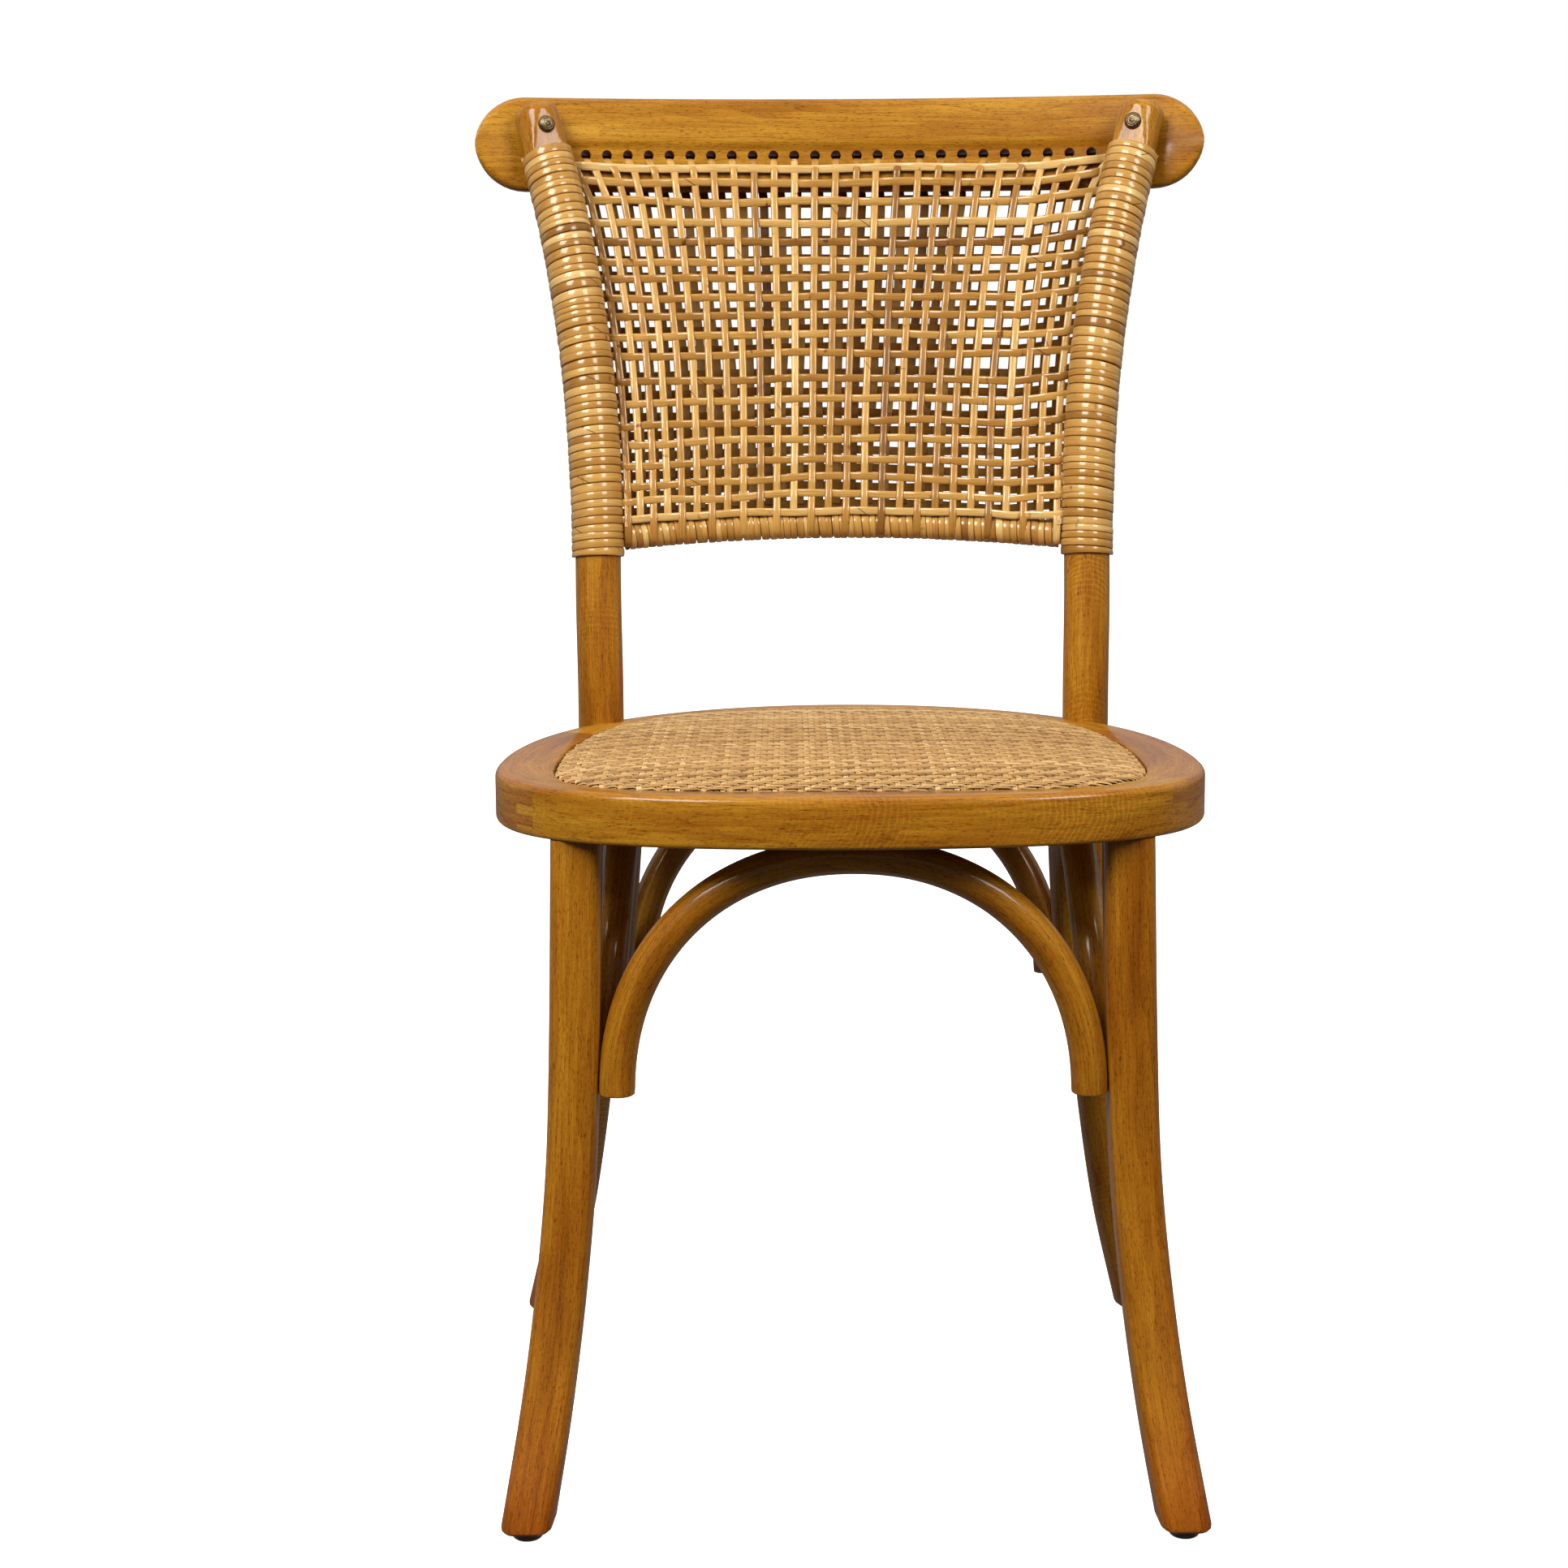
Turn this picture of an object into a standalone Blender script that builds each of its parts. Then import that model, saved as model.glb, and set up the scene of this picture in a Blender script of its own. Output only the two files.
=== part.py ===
"""Cane back chair: four bent legs, a finger jointed seat ring, four arches and a caned back.

The chair faces -Y and stands on the floor at z = 0. It is drawn with x = 0 on its middle plane
and y = 0 at the front edge of the seat ring, and moved at the end so that the origin lies under
its middle. Sizes are in metres. Right is the side of +X.
"""
from math import atan2, cos, pi, radians, sin, tau

import bmesh
import bpy
from mathutils import Vector
from mathutils.geometry import interpolate_bezier

CLEARANCE = 0.0003
OVERRUN = 0.004
SHARP_ANGLE = radians(38)

# seat ring, with the rabbet that holds the board and the cane panel
SEAT_HEIGHT = 0.453
SEAT_WIDTH = 0.451
SEAT_DEPTH = 0.434
RING_THICKNESS = 0.0315
RING_TOP_ROUND = 0.0045
RING_BOTTOM_ROUND = 0.003
FRONT_RIM = 0.026
SIDE_RIM = 0.0385
REAR_RIM = 0.022
LEDGE_WIDTH = 0.050
RABBET_DEPTH = 0.009
RING_OUTLINE_SHARES = ((0, 0), (0.776, 0), (1, 0.115), (1, 0.334), (1, 0.786), (0.488, 1), (0, 1))
PAD_OUTLINE_SHARES = ((0, 0), (0.856, 0), (1, 0.036), (1, 0.295), (1, 0.813), (0.695, 1), (0, 1))

# stations round the ring, counted from its front middle, and the finger joints at two of them
RING_STATIONS = 64
FRONT_JOINT = 10
REAR_JOINT = 21
JOINT_REACH = 4
FINGER_LAYERS = 5
FINGER_LENGTH = 0.018

# seat board, and the crowned cane panel over it
BOARD_THICKNESS = 0.0055
PANEL_CROWN = 0.007
PANEL_RING_SHARES = (1, 0.94, 0.82, 0.6, 0.3)

# rear legs, each one round bar from the floor to the crest rail
REAR_LEG_RADIUS = 0.0162
REAR_LEG_WIDTH_SHARE = 0.7654
REAR_LEG_DEPTH_SHARE = 0.7995
BACK_HEIGHT = 0.438
REAR_FOOT_FLARE = 0.0484
REAR_FOOT_SWEEP = 0.038
BACK_FLARE = 0.0494
BACK_RAKE = 0.096
LOWER_REAR_SHARES = ((0, 1, 1), (0.234, 0.504, 0.58), (0.552, 0.112, 0.17), (0.773, 0, 0.04), (1, 0, 0))
UPPER_REAR_SHARES = ((0.07, 0, 0), (0.183, 0.02, 0.0625), (0.352, 0.043, 0.198), (0.56, 0.174, 0.406),
                     (0.772, 0.474, 0.646), (0.952, 0.879, 0.9375), (1, 1, 1))
TOP_DOME_SHARES = ((0, 1), (0.45, 0.9), (0.8, 0.62), (1, 0.25))
TOP_DOME_HEIGHT = 0.008
SCREW_FACET_DEPTH = 0.002

# front legs, soft square bars that turn out and forward at the foot
FRONT_LEG_SIDE = 0.031
FRONT_LEG_CORNER = 0.0085
FRONT_LEG_WIDTH_SHARE = 0.745
FRONT_LEG_DEPTH_SHARE = 0.1221
FRONT_FOOT_FLARE = 0.0325
FRONT_FOOT_KICK = 0.062
FRONT_LEG_SHARES = ((0, 1, 1), (0.166, 0.655, 0.5), (0.332, 0.391, 0.19), (0.504, 0.197, 0.03),
                    (0.688, 0.098, 0), (1, 0, 0))
TENON_RADIUS = 0.009
TENON_LENGTH = 0.018

# glides nailed under the feet
GLIDE_RADIUS = 0.00925
GLIDE_THICKNESS = 0.0055
GLIDE_CHAMFER = 0.001
NAIL_RADIUS = 0.0015
NAIL_LENGTH = 0.014

# arches under the seat
ARCH_RADIUS = 0.01125
ARCH_ROUNDNESS = 2.15
ARCH_END_ROUND = 0.0018
FRONT_ARCH_SETBACK = 0.006
FRONT_ARCH_FOOT = 0.261
REAR_ARCH_FOOT = 0.266
REAR_ARCH_LEAN = 0.036
SIDE_ARCH_FRONT_FOOT = 0.255
SIDE_ARCH_REAR_FOOT = 0.262
SIDE_ARCH_FRONT_OFFSET = 0.0145
SIDE_ARCH_REAR_OFFSET = 0.0135
SIDE_ARCH_CROWN_INSET = 0.078

# crest rail, bent to an arc and leaning back, with a lower band set back for the cane
CREST_HEIGHT = 0.068
CREST_THICKNESS = 0.022
CREST_EDGE_ROUND = 0.005
CREST_BEND_RADIUS = 0.957
CREST_TILT = radians(10)
CREST_OVERHANG = 0.0505
CREST_ABOVE_POST = 0.007
CREST_GROOVE = 0.0024
BAND_STEP = 0.003
BAND_STEP_SHARE = -0.06
CREST_HOLES = 27
CREST_HOLE_RADIUS = 0.00375
CREST_HOLE_SPACING = 0.01542
CREST_HOLE_DROP = 0.0075

# bottom rail of the back
BOTTOM_RAIL_RADIUS = 0.0075
BOTTOM_RAIL_HEIGHT = 0.1285
BOTTOM_RAIL_BOW = 0.027
BOTTOM_RAIL_RISE = 0.008
BOTTOM_TENON_RADIUS = 0.0055
BOTTOM_TENON_LENGTH = 0.013

# cane wound round the posts and the bottom rail, one strand each
STRAND_THICKNESS = 0.0026
STRAND_GAP = 0.0011
STRAND_TOP_SHARE = 0.5
POST_TURNS = 19
POST_TURN_POINTS = 10
POST_WINDING_DROP = 0.034
RAIL_TURNS = 24
RAIL_TURN_POINTS = 8

# cane nets in front of and behind the rails of the back
NET_STRIP_WIDTH = 0.0058
NET_THICKNESS = 0.0014
NET_STANDOFF = 0.0006
NET_BEND_SHARE = 0.9
FRONT_NET_COUNTS = (14, 10)
REAR_NET_COUNTS = (8, 6)

# screws and bolts: head radius, head height and shank radius of each kind
CREST_SCREW_HEAD = 0.00625
CREST_SCREW_DOME = 0.0035
CREST_SCREW_SHANK = 0.0025
ARCH_SCREW_HEAD = 0.004
ARCH_SCREW_DOME = 0.002
ARCH_SCREW_SHANK = 0.002
SCREW_BITE = 0.012
SCREW_TURN = radians(12)
ARCH_SCREW_RISE = 0.012
SIDE_SCREW_RISE = 0.023
BOARD_SCREW_SPREAD = 0.080
BOARD_SCREW_BITE = 0.0035
BOLT_HEAD = 0.006
BOLT_HEAD_HEIGHT = 0.004
BOLT_SHANK = 0.003
BOLT_LENGTH = 0.062
BOLT_AIM_SHARE = 0.55

BAR_SIDES = 12
ARCH_SIDES = 10
SCREW_SIDES = 6

# colours in linear light, with roughness and metal
WOOD = ((0.42, 0.19, 0.06, 1), 0.35, 0)
CANE = ((0.52, 0.32, 0.12, 1), 0.45, 0)
SEAT_CANE = ((0.45, 0.30, 0.15, 1), 0.6, 0)
PLYWOOD = ((0.50, 0.33, 0.17, 1), 0.7, 0)
BRASS = ((0.30, 0.20, 0.09, 1), 0.4, 1)
STEEL = ((0.45, 0.45, 0.45, 1), 0.35, 1)
PLASTIC = ((0.05, 0.025, 0.015, 1), 0.5, 0)

# sizes that follow from the ones above
HALF_WIDTH = SEAT_WIDTH / 2
RING_BOTTOM = SEAT_HEIGHT - RING_THICKNESS
LEDGE_HEIGHT = SEAT_HEIGHT - RABBET_DEPTH
LAYER = RING_THICKNESS / FINGER_LAYERS
STATION_SHARE = 2 / RING_STATIONS
FOOT_HEIGHT = GLIDE_THICKNESS + CLEARANCE
POST_X = HALF_WIDTH * REAR_LEG_WIDTH_SHARE
POST_Y = SEAT_DEPTH * REAR_LEG_DEPTH_SHARE
FRONT_LEG_X = HALF_WIDTH * FRONT_LEG_WIDTH_SHARE
FRONT_LEG_Y = SEAT_DEPTH * FRONT_LEG_DEPTH_SHARE
ARCH_CROWN = RING_BOTTOM - CLEARANCE - ARCH_RADIUS
ARCH_TO_REAR_LEG = ARCH_RADIUS + CLEARANCE + REAR_LEG_RADIUS
BOTTOM_RAIL_Z = SEAT_HEIGHT + BOTTOM_RAIL_HEIGHT
POST_WINDING_BASE = (REAR_LEG_RADIUS + 2 * CLEARANCE) / cos(pi / POST_TURN_POINTS)
POST_WINDING_RADIUS = POST_WINDING_BASE + STRAND_THICKNESS
RAIL_WINDING_BASE = (BOTTOM_RAIL_RADIUS + CLEARANCE) / cos(pi / RAIL_TURN_POINTS)
RAIL_WINDING_RADIUS = RAIL_WINDING_BASE + STRAND_THICKNESS
BACK_TOP = SEAT_HEIGHT + BACK_HEIGHT
WINDING_TOP = BACK_TOP - POST_WINDING_DROP
WINDING_BOTTOM = BOTTOM_RAIL_Z + RAIL_WINDING_RADIUS + STRAND_THICKNESS
CREST_Z = BACK_TOP + CREST_ABOVE_POST - CREST_HEIGHT / 2

X_AXIS = Vector((1, 0, 0))
Y_AXIS = Vector((0, 1, 0))
Z_AXIS = Vector((0, 0, 1))


def clear_scene():
    for old in list(bpy.data.objects):
        bpy.data.objects.remove(old)


def make_material(name, colour, roughness, metal):
    material = bpy.data.materials.new(name)
    material.use_nodes = True
    shader = material.node_tree.nodes["Principled BSDF"]
    shader.inputs["Base Color"].default_value = colour
    shader.inputs["Roughness"].default_value = roughness
    shader.inputs["Metallic"].default_value = metal
    return material


def add_piece(name, bm, finish):
    """Turn a bmesh into a named object with its own material, shaded smooth between sharp edges."""
    bmesh.ops.recalc_face_normals(bm, faces=bm.faces)
    mesh = bpy.data.meshes.new(name)
    bm.to_mesh(mesh)
    bm.free()
    mesh.shade_smooth()
    mesh.set_sharp_from_angle(angle=SHARP_ANGLE)
    piece = bpy.data.objects.new(name, mesh)
    bpy.context.collection.objects.link(piece)
    mesh.materials.append(make_material(name + "_finish", *finish))
    return piece


def add_cutter(bm):
    """A body that is only used to cut others, and removed afterwards."""
    bmesh.ops.recalc_face_normals(bm, faces=bm.faces)
    mesh = bpy.data.meshes.new("cutter")
    bm.to_mesh(mesh)
    bm.free()
    cutter = bpy.data.objects.new("cutter", mesh)
    cutter.display_type = "WIRE"
    cutter.hide_render = True
    bpy.context.collection.objects.link(cutter)
    return cutter


def cut(piece, cutters):
    """Take the cutters away from the piece and keep its name, finish and shading."""
    for cutter in cutters:
        boolean = piece.modifiers.new("cut", "BOOLEAN")
        boolean.operation = "DIFFERENCE"
        boolean.solver = "EXACT"
        boolean.object = cutter
    depsgraph = bpy.context.evaluated_depsgraph_get()
    mesh = bpy.data.meshes.new_from_object(piece.evaluated_get(depsgraph))
    piece.modifiers.clear()
    piece.data = mesh
    mesh.set_sharp_from_angle(angle=SHARP_ANGLE)
    for cutter in cutters:
        bpy.data.objects.remove(cutter)


def skin(rings):
    """A closed skin through rings that all have the same number of points."""
    bm = bmesh.new()
    loops = [[bm.verts.new(point) for point in ring] for ring in rings]
    for low, high in zip(loops, loops[1:]):
        for i in range(len(low)):
            bm.faces.new((low[i - 1], low[i], high[i], high[i - 1]))
    bm.faces.new(loops[0])
    bm.faces.new(loops[-1])
    return bm


def merged(parts):
    """Several separate bodies in one bmesh, for a cutter with many teeth."""
    bm = bmesh.new()
    for part in parts:
        mesh = bpy.data.meshes.new("part")
        bmesh.ops.recalc_face_normals(part, faces=part.faces)
        part.to_mesh(mesh)
        part.free()
        bm.from_mesh(mesh)
        bpy.data.meshes.remove(mesh)
    return bm


def smooth_path(points, steps):
    """A curve through the points, with the given number of steps between neighbours."""
    last = len(points) - 1
    slopes = []
    for i, point in enumerate(points):
        before = points[max(i - 1, 0)]
        after = points[min(i + 1, last)]
        slopes.append((after - before) / ((after - point).length + (point - before).length))
    path = [points[0]]
    for i in range(last):
        third = (points[i + 1] - points[i]).length / 3
        out = points[i] + slopes[i] * third
        into = points[i + 1] - slopes[i + 1] * third
        path += interpolate_bezier(points[i], out, into, points[i + 1], steps + 1)[1:]
    return path


def frames(path, side):
    """Each point of a path, its tangent and two directions square to it, the first nearest to side."""
    found = []
    for i, point in enumerate(path):
        tangent = (path[min(i + 1, len(path) - 1)] - path[max(i - 1, 0)]).normalized()
        first = (side - tangent * side.dot(tangent)).normalized()
        found.append((point, tangent, first, tangent.cross(first)))
    return found


def bar_rings(path, side, radii, sides):
    """Round sections along a path, one radius for each point."""
    rings = []
    for (point, tangent, first, second), radius in zip(frames(path, side), radii):
        angles = [tau * (k + 0.5) / sides for k in range(sides)]
        rings.append([point + (first * cos(a) + second * sin(a)) * radius for a in angles])
    return rings


def flattened(ring, along, height):
    """The ring slid along a direction onto a level plane."""
    return [point + along * ((height - point.z) / along.z) for point in ring]


def at_height(path, height):
    """The point of a rising path at a height."""
    for low, high in zip(path, path[1:]):
        if low.z <= height <= high.z:
            return low.lerp(high, (height - low.z) / (high.z - low.z))
    return path[-1] if height > path[-1].z else path[0]


def mirrored(point, hand):
    return Vector((point.x * hand, point.y, point.z))


def hole_radius(radius, sides):
    """Radius of a many sided hole whose flats clear a pin of the given radius."""
    return (radius + CLEARANCE) / cos(pi / sides)


def rod(start, end, radius, sides=SCREW_SIDES):
    """A straight round rod, as a bmesh."""
    along = (end - start).normalized()
    side = Z_AXIS if abs(along.z) < abs(along.y) + abs(along.x) else X_AXIS
    return skin(bar_rings([start, end], side, [radius, radius], sides))


def bezier_outline(shares, half_width, front, rear, where):
    """A point of a symmetric outline: where is 0 at the front middle and 1 at the rear middle,
    up to 2 and below 0 on the left."""
    half = abs(where) if where <= 1 else 2 - where
    hand = 1 if 0 <= where <= 1 else -1
    quarter = 0 if half <= 0.5 else 3
    share = 2 * half if half <= 0.5 else 2 * half - 1
    knots = shares[quarter:quarter + 4]
    weights = ((1 - share) ** 3, 3 * (1 - share) ** 2 * share, 3 * (1 - share) * share ** 2, share ** 3)
    x = sum(weight * knot[0] for weight, knot in zip(weights, knots)) * half_width
    y = sum(weight * knot[1] for weight, knot in zip(weights, knots)) * (rear - front) + front
    return Vector((x * hand, y, 0))


def ring_edge(where):
    return bezier_outline(RING_OUTLINE_SHARES, HALF_WIDTH, 0, SEAT_DEPTH, where)


def pad_edge(where, inset=0):
    return bezier_outline(PAD_OUTLINE_SHARES, HALF_WIDTH - SIDE_RIM - inset, FRONT_RIM + inset,
                          SEAT_DEPTH - REAR_RIM - inset, where)


def ring_section(where):
    """The seat ring's section: rounded outside, a rabbet on top, a broad ledge inside."""
    outer = ring_edge(where)
    pad = pad_edge(where)
    inner = pad_edge(where, LEDGE_WIDTH)
    inward = (pad - outer).normalized()
    diagonal = 1 - cos(pi / 4)
    points = [(pad, SEAT_HEIGHT), (outer + inward * RING_TOP_ROUND, SEAT_HEIGHT)]
    points.append((outer + inward * RING_TOP_ROUND * diagonal, SEAT_HEIGHT - RING_TOP_ROUND * diagonal))
    points.append((outer, SEAT_HEIGHT - RING_TOP_ROUND))
    points.append((outer, RING_BOTTOM + RING_BOTTOM_ROUND))
    points.append((outer + inward * RING_BOTTOM_ROUND, RING_BOTTOM))
    to_outer = (outer - inner).normalized()
    points.append((inner + to_outer * RING_BOTTOM_ROUND, RING_BOTTOM))
    points.append((inner, RING_BOTTOM + RING_BOTTOM_ROUND))
    points += [(inner, LEDGE_HEIGHT), (pad, LEDGE_HEIGHT)]
    return [Vector((point.x, point.y, height)) for point, height in points]


def comb_cutter(where, direction, outer_fingers):
    """Shapes the finger joint at the end of a rail. Direction is 1 where the rail ends towards
    larger shares of the way round. Rails with outer fingers have the bottom and top layers."""
    origin = ring_edge(where)
    step = STATION_SHARE / 4
    tangent = (ring_edge(where + step) - ring_edge(where - step)).normalized() * direction
    across = tangent.cross(Z_AXIS)
    far = (ring_edge(where + direction * JOINT_REACH * STATION_SHARE) - origin).length + FINGER_LENGTH
    tip = FINGER_LENGTH / 2
    root = -tip - CLEARANCE
    outline = [(far, RING_BOTTOM - OVERRUN)]
    bottom = RING_BOTTOM - OVERRUN
    for layer in range(FINGER_LAYERS):
        is_finger = (layer % 2 == 0) == outer_fingers
        reach = tip if is_finger else root
        top = RING_BOTTOM + (layer + 1) * LAYER
        if not outer_fingers:
            top += -CLEARANCE if is_finger else CLEARANCE
        if layer == FINGER_LAYERS - 1:
            top = SEAT_HEIGHT + OVERRUN
        outline += [(reach, bottom), (reach, top)]
        bottom = top
    outline.append((far, bottom))
    reach_in = 1.5 * (LEDGE_WIDTH + SIDE_RIM)
    reach_out = SIDE_RIM
    rings = []
    for offset in (-reach_in, reach_out):
        rings.append([origin + tangent * u + across * offset * direction + Z_AXIS * z for u, z in outline])
    return add_cutter(skin(rings))


def make_seat_rail(name, first, last, outer_fingers):
    """One rail of the ring, between the finger joints at two stations."""
    stations = range(first - JOINT_REACH, last + JOINT_REACH + 1)
    rail = add_piece(name, skin([ring_section(i * STATION_SHARE) for i in stations]), WOOD)
    cut(rail, [comb_cutter(first * STATION_SHARE, -1, outer_fingers),
               comb_cutter(last * STATION_SHARE, 1, outer_fingers)])
    return rail


def make_seat_ring():
    """The four rails of the ring, by name."""
    front = make_seat_rail("seat_rail_front", -FRONT_JOINT, FRONT_JOINT, True)
    right = make_seat_rail("seat_rail_right", FRONT_JOINT, REAR_JOINT, False)
    rear = make_seat_rail("seat_rail_rear", REAR_JOINT, RING_STATIONS - REAR_JOINT, True)
    left = make_seat_rail("seat_rail_left", RING_STATIONS - REAR_JOINT, RING_STATIONS - FRONT_JOINT, False)
    return {"front": front, "right": right, "rear": rear, "left": left}


def pad_ring(height):
    """The edge of the board and of the cane panel, clear of the rabbet."""
    return [pad_edge(i * STATION_SHARE, CLEARANCE) + Z_AXIS * height for i in range(RING_STATIONS)]


def make_seat_board():
    """The board that lies in the ring's rabbet."""
    bottom = LEDGE_HEIGHT + CLEARANCE
    return add_piece("seat_board", skin([pad_ring(bottom), pad_ring(bottom + BOARD_THICKNESS)]), PLYWOOD)


def make_seat_panel():
    """The cane panel: flush with the ring at its edge and crowned over the middle."""
    base = LEDGE_HEIGHT + BOARD_THICKNESS + 2 * CLEARANCE
    middle = (pad_edge(0) + pad_edge(1)) / 2
    edge = pad_ring(0)
    rings = [pad_ring(base)]
    for share in PANEL_RING_SHARES:
        height = SEAT_HEIGHT + PANEL_CROWN * (1 - share ** 4)
        rings.append([middle.lerp(point, share) + Z_AXIS * height for point in edge])
    return add_piece("seat_cane_panel", skin(rings), SEAT_CANE)


def rear_leg_path(hand, steps=2):
    """The centre line of a rear leg from the floor to its top."""
    points = []
    for height, flare, sweep in LOWER_REAR_SHARES:
        points.append(Vector((POST_X + REAR_FOOT_FLARE * flare, POST_Y + REAR_FOOT_SWEEP * sweep,
                              SEAT_HEIGHT * height)))
    for height, flare, rake in UPPER_REAR_SHARES:
        points.append(Vector((POST_X + BACK_FLARE * flare, POST_Y + BACK_RAKE * rake,
                              SEAT_HEIGHT + BACK_HEIGHT * height)))
    return [mirrored(point, hand) for point in smooth_path(points, steps)]


def make_rear_leg(name, hand):
    path = rear_leg_path(hand)
    body = [point for point in path if FOOT_HEIGHT + REAR_LEG_RADIUS < point.z < BACK_TOP - TOP_DOME_HEIGHT]
    foot = at_height(path, FOOT_HEIGHT)
    top = at_height(path, BACK_TOP - TOP_DOME_HEIGHT)
    line = [foot] + body + [top]
    rings = bar_rings(line, X_AXIS, [REAR_LEG_RADIUS] * len(line), BAR_SIDES)
    rings[0] = flattened(rings[0], (body[0] - foot).normalized(), FOOT_HEIGHT)
    rise = (line[-1] - line[-2]).normalized()
    flat_top = rings[-1]
    for height, width in TOP_DOME_SHARES[1:]:
        raised = top + rise * TOP_DOME_HEIGHT * height
        rings.append([raised + (point - top) * width for point in flat_top])
    return add_piece(name, skin(rings), WOOD)


def front_leg_path(hand):
    points = []
    for height, flare, kick in FRONT_LEG_SHARES:
        points.append(Vector((FRONT_LEG_X + FRONT_FOOT_FLARE * flare, FRONT_LEG_Y - FRONT_FOOT_KICK * kick,
                              (RING_BOTTOM - CLEARANCE) * height)))
    return [mirrored(point, hand) for point in smooth_path(points, 3)]


def soft_square(point, first, second):
    """A square section with rounded corners, three points to a corner."""
    flat = FRONT_LEG_SIDE / 2 - FRONT_LEG_CORNER
    ring = []
    for corner in range(4):
        turn = tau * corner / 4
        middle = (cos(turn + pi / 4), sin(turn + pi / 4))
        for share in (0, 0.5, 1):
            angle = turn + share * pi / 2
            u = middle[0] * flat * 2 ** 0.5 + FRONT_LEG_CORNER * cos(angle)
            v = middle[1] * flat * 2 ** 0.5 + FRONT_LEG_CORNER * sin(angle)
            ring.append(point + first * u + second * v)
    return ring


def make_front_leg(name, hand):
    """A front leg with the round tenon that stands in the seat ring."""
    path = front_leg_path(hand)
    line = [at_height(path, FOOT_HEIGHT)]
    line += [point for point in path if FOOT_HEIGHT + FRONT_LEG_SIDE / 2 < point.z]
    rings = [soft_square(point, first, second) for point, _, first, second in frames(line, X_AXIS)]
    rings[0] = flattened(rings[0], (line[1] - line[0]).normalized(), FOOT_HEIGHT)
    shoulder = line[-1]
    rings[-1] = soft_square(shoulder, X_AXIS, Y_AXIS)
    for height in (0, TENON_LENGTH):
        angles = [tau * k / 4 + share * pi / 2 for k in range(4) for share in (0, 0.4, 0.7)]
        centre = shoulder + Z_AXIS * height
        rings.append([centre + (X_AXIS * cos(a) + Y_AXIS * sin(a)) * TENON_RADIUS for a in angles])
    return add_piece(name, skin(rings), WOOD)


def turned(profile, sides):
    """A body turned from a profile of radius and height, which starts and ends on its axis."""
    bm = bmesh.new()
    verts = [bm.verts.new((radius, 0, height)) for radius, height in profile]
    edges = [bm.edges.new(pair) for pair in zip(verts, verts[1:])]
    bmesh.ops.spin(bm, geom=verts + edges, cent=(0, 0, 0), axis=(0, 0, 1), angle=tau, steps=sides,
                   use_merge=True)
    bmesh.ops.remove_doubles(bm, verts=bm.verts, dist=CLEARANCE / 10)
    return bm


def make_glide(name, foot):
    """A disc with a rounded lower edge, and the nail that holds it in the foot."""
    profile = [(0, NAIL_LENGTH + GLIDE_THICKNESS), (NAIL_RADIUS, NAIL_LENGTH + GLIDE_THICKNESS - NAIL_RADIUS),
               (NAIL_RADIUS, GLIDE_THICKNESS), (GLIDE_RADIUS, GLIDE_THICKNESS),
               (GLIDE_RADIUS, GLIDE_CHAMFER), (GLIDE_RADIUS - GLIDE_CHAMFER, 0), (0, 0)]
    glide = add_piece(name, turned(profile, ARCH_SIDES), PLASTIC)
    glide.location = (foot.x, foot.y, 0)
    return glide


def nail_hole(foot):
    start = Vector((foot.x, foot.y, 0))
    end = start + Z_AXIS * (GLIDE_THICKNESS + NAIL_LENGTH + 2 * CLEARANCE)
    return add_cutter(rod(start, end, hole_radius(NAIL_RADIUS, SCREW_SIDES)))


def make_screw(name, seat, into, length, head, dome, shank, finish):
    """A round headed screw whose head sits at seat and whose shank runs the length along into."""
    profile = [(0, -dome), (head / 2, -dome * 0.85), (head, 0), (shank, 0),
               (shank, length - shank), (0, length)]
    screw = add_piece(name, turned(profile, SCREW_SIDES), finish)
    screw.rotation_mode = "QUATERNION"
    screw.rotation_quaternion = Z_AXIS.rotation_difference(into)
    screw.location = seat
    return screw


def screw_holes(seat, into, length, head, shank, outward):
    """The shank's hole, and the recess that the head stands in, reaching outward from its seat."""
    hole = rod(seat, seat + into * (length + CLEARANCE), hole_radius(shank, SCREW_SIDES))
    recess = rod(seat - into * outward, seat + into * CLEARANCE, hole_radius(head, SCREW_SIDES))
    return [add_cutter(hole), add_cutter(recess)]


def arch_path(start, end, crown, steps):
    """A round shouldered arch from start to end. It leans so that its crown lies at the given point."""
    path = []
    foot = (start + end) / 2
    half = (end - start) / 2
    for i in range(steps + 1):
        angle = pi - pi * i / steps
        across = abs(cos(angle)) ** (2 / ARCH_ROUNDNESS)
        across = across if cos(angle) > 0 else -across
        rise = abs(sin(angle)) ** (2 / ARCH_ROUNDNESS)
        path.append(foot + half * across + (crown - foot) * rise)
    return path


def make_arch(name, start, end, crown):
    """A bent round bar with square ends, their edges rounded."""
    path = arch_path(start, end, crown, 12)
    path.insert(1, path[0].lerp(path[1], ARCH_END_ROUND / (path[1] - path[0]).length))
    path.insert(-1, path[-1].lerp(path[-2], ARCH_END_ROUND / (path[-1] - path[-2]).length))
    radii = [ARCH_RADIUS] * len(path)
    radii[0] = ARCH_RADIUS - ARCH_END_ROUND
    radii[-1] = ARCH_RADIUS - ARCH_END_ROUND
    normal = (end - start).cross(crown - start).normalized()
    return add_piece(name, skin(bar_rings(path, normal, radii, ARCH_SIDES)), WOOD)


def front_leg_at(height, hand):
    return at_height(front_leg_path(hand), height)


def rear_leg_at(height, hand):
    return at_height(rear_leg_path(hand), height)


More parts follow.
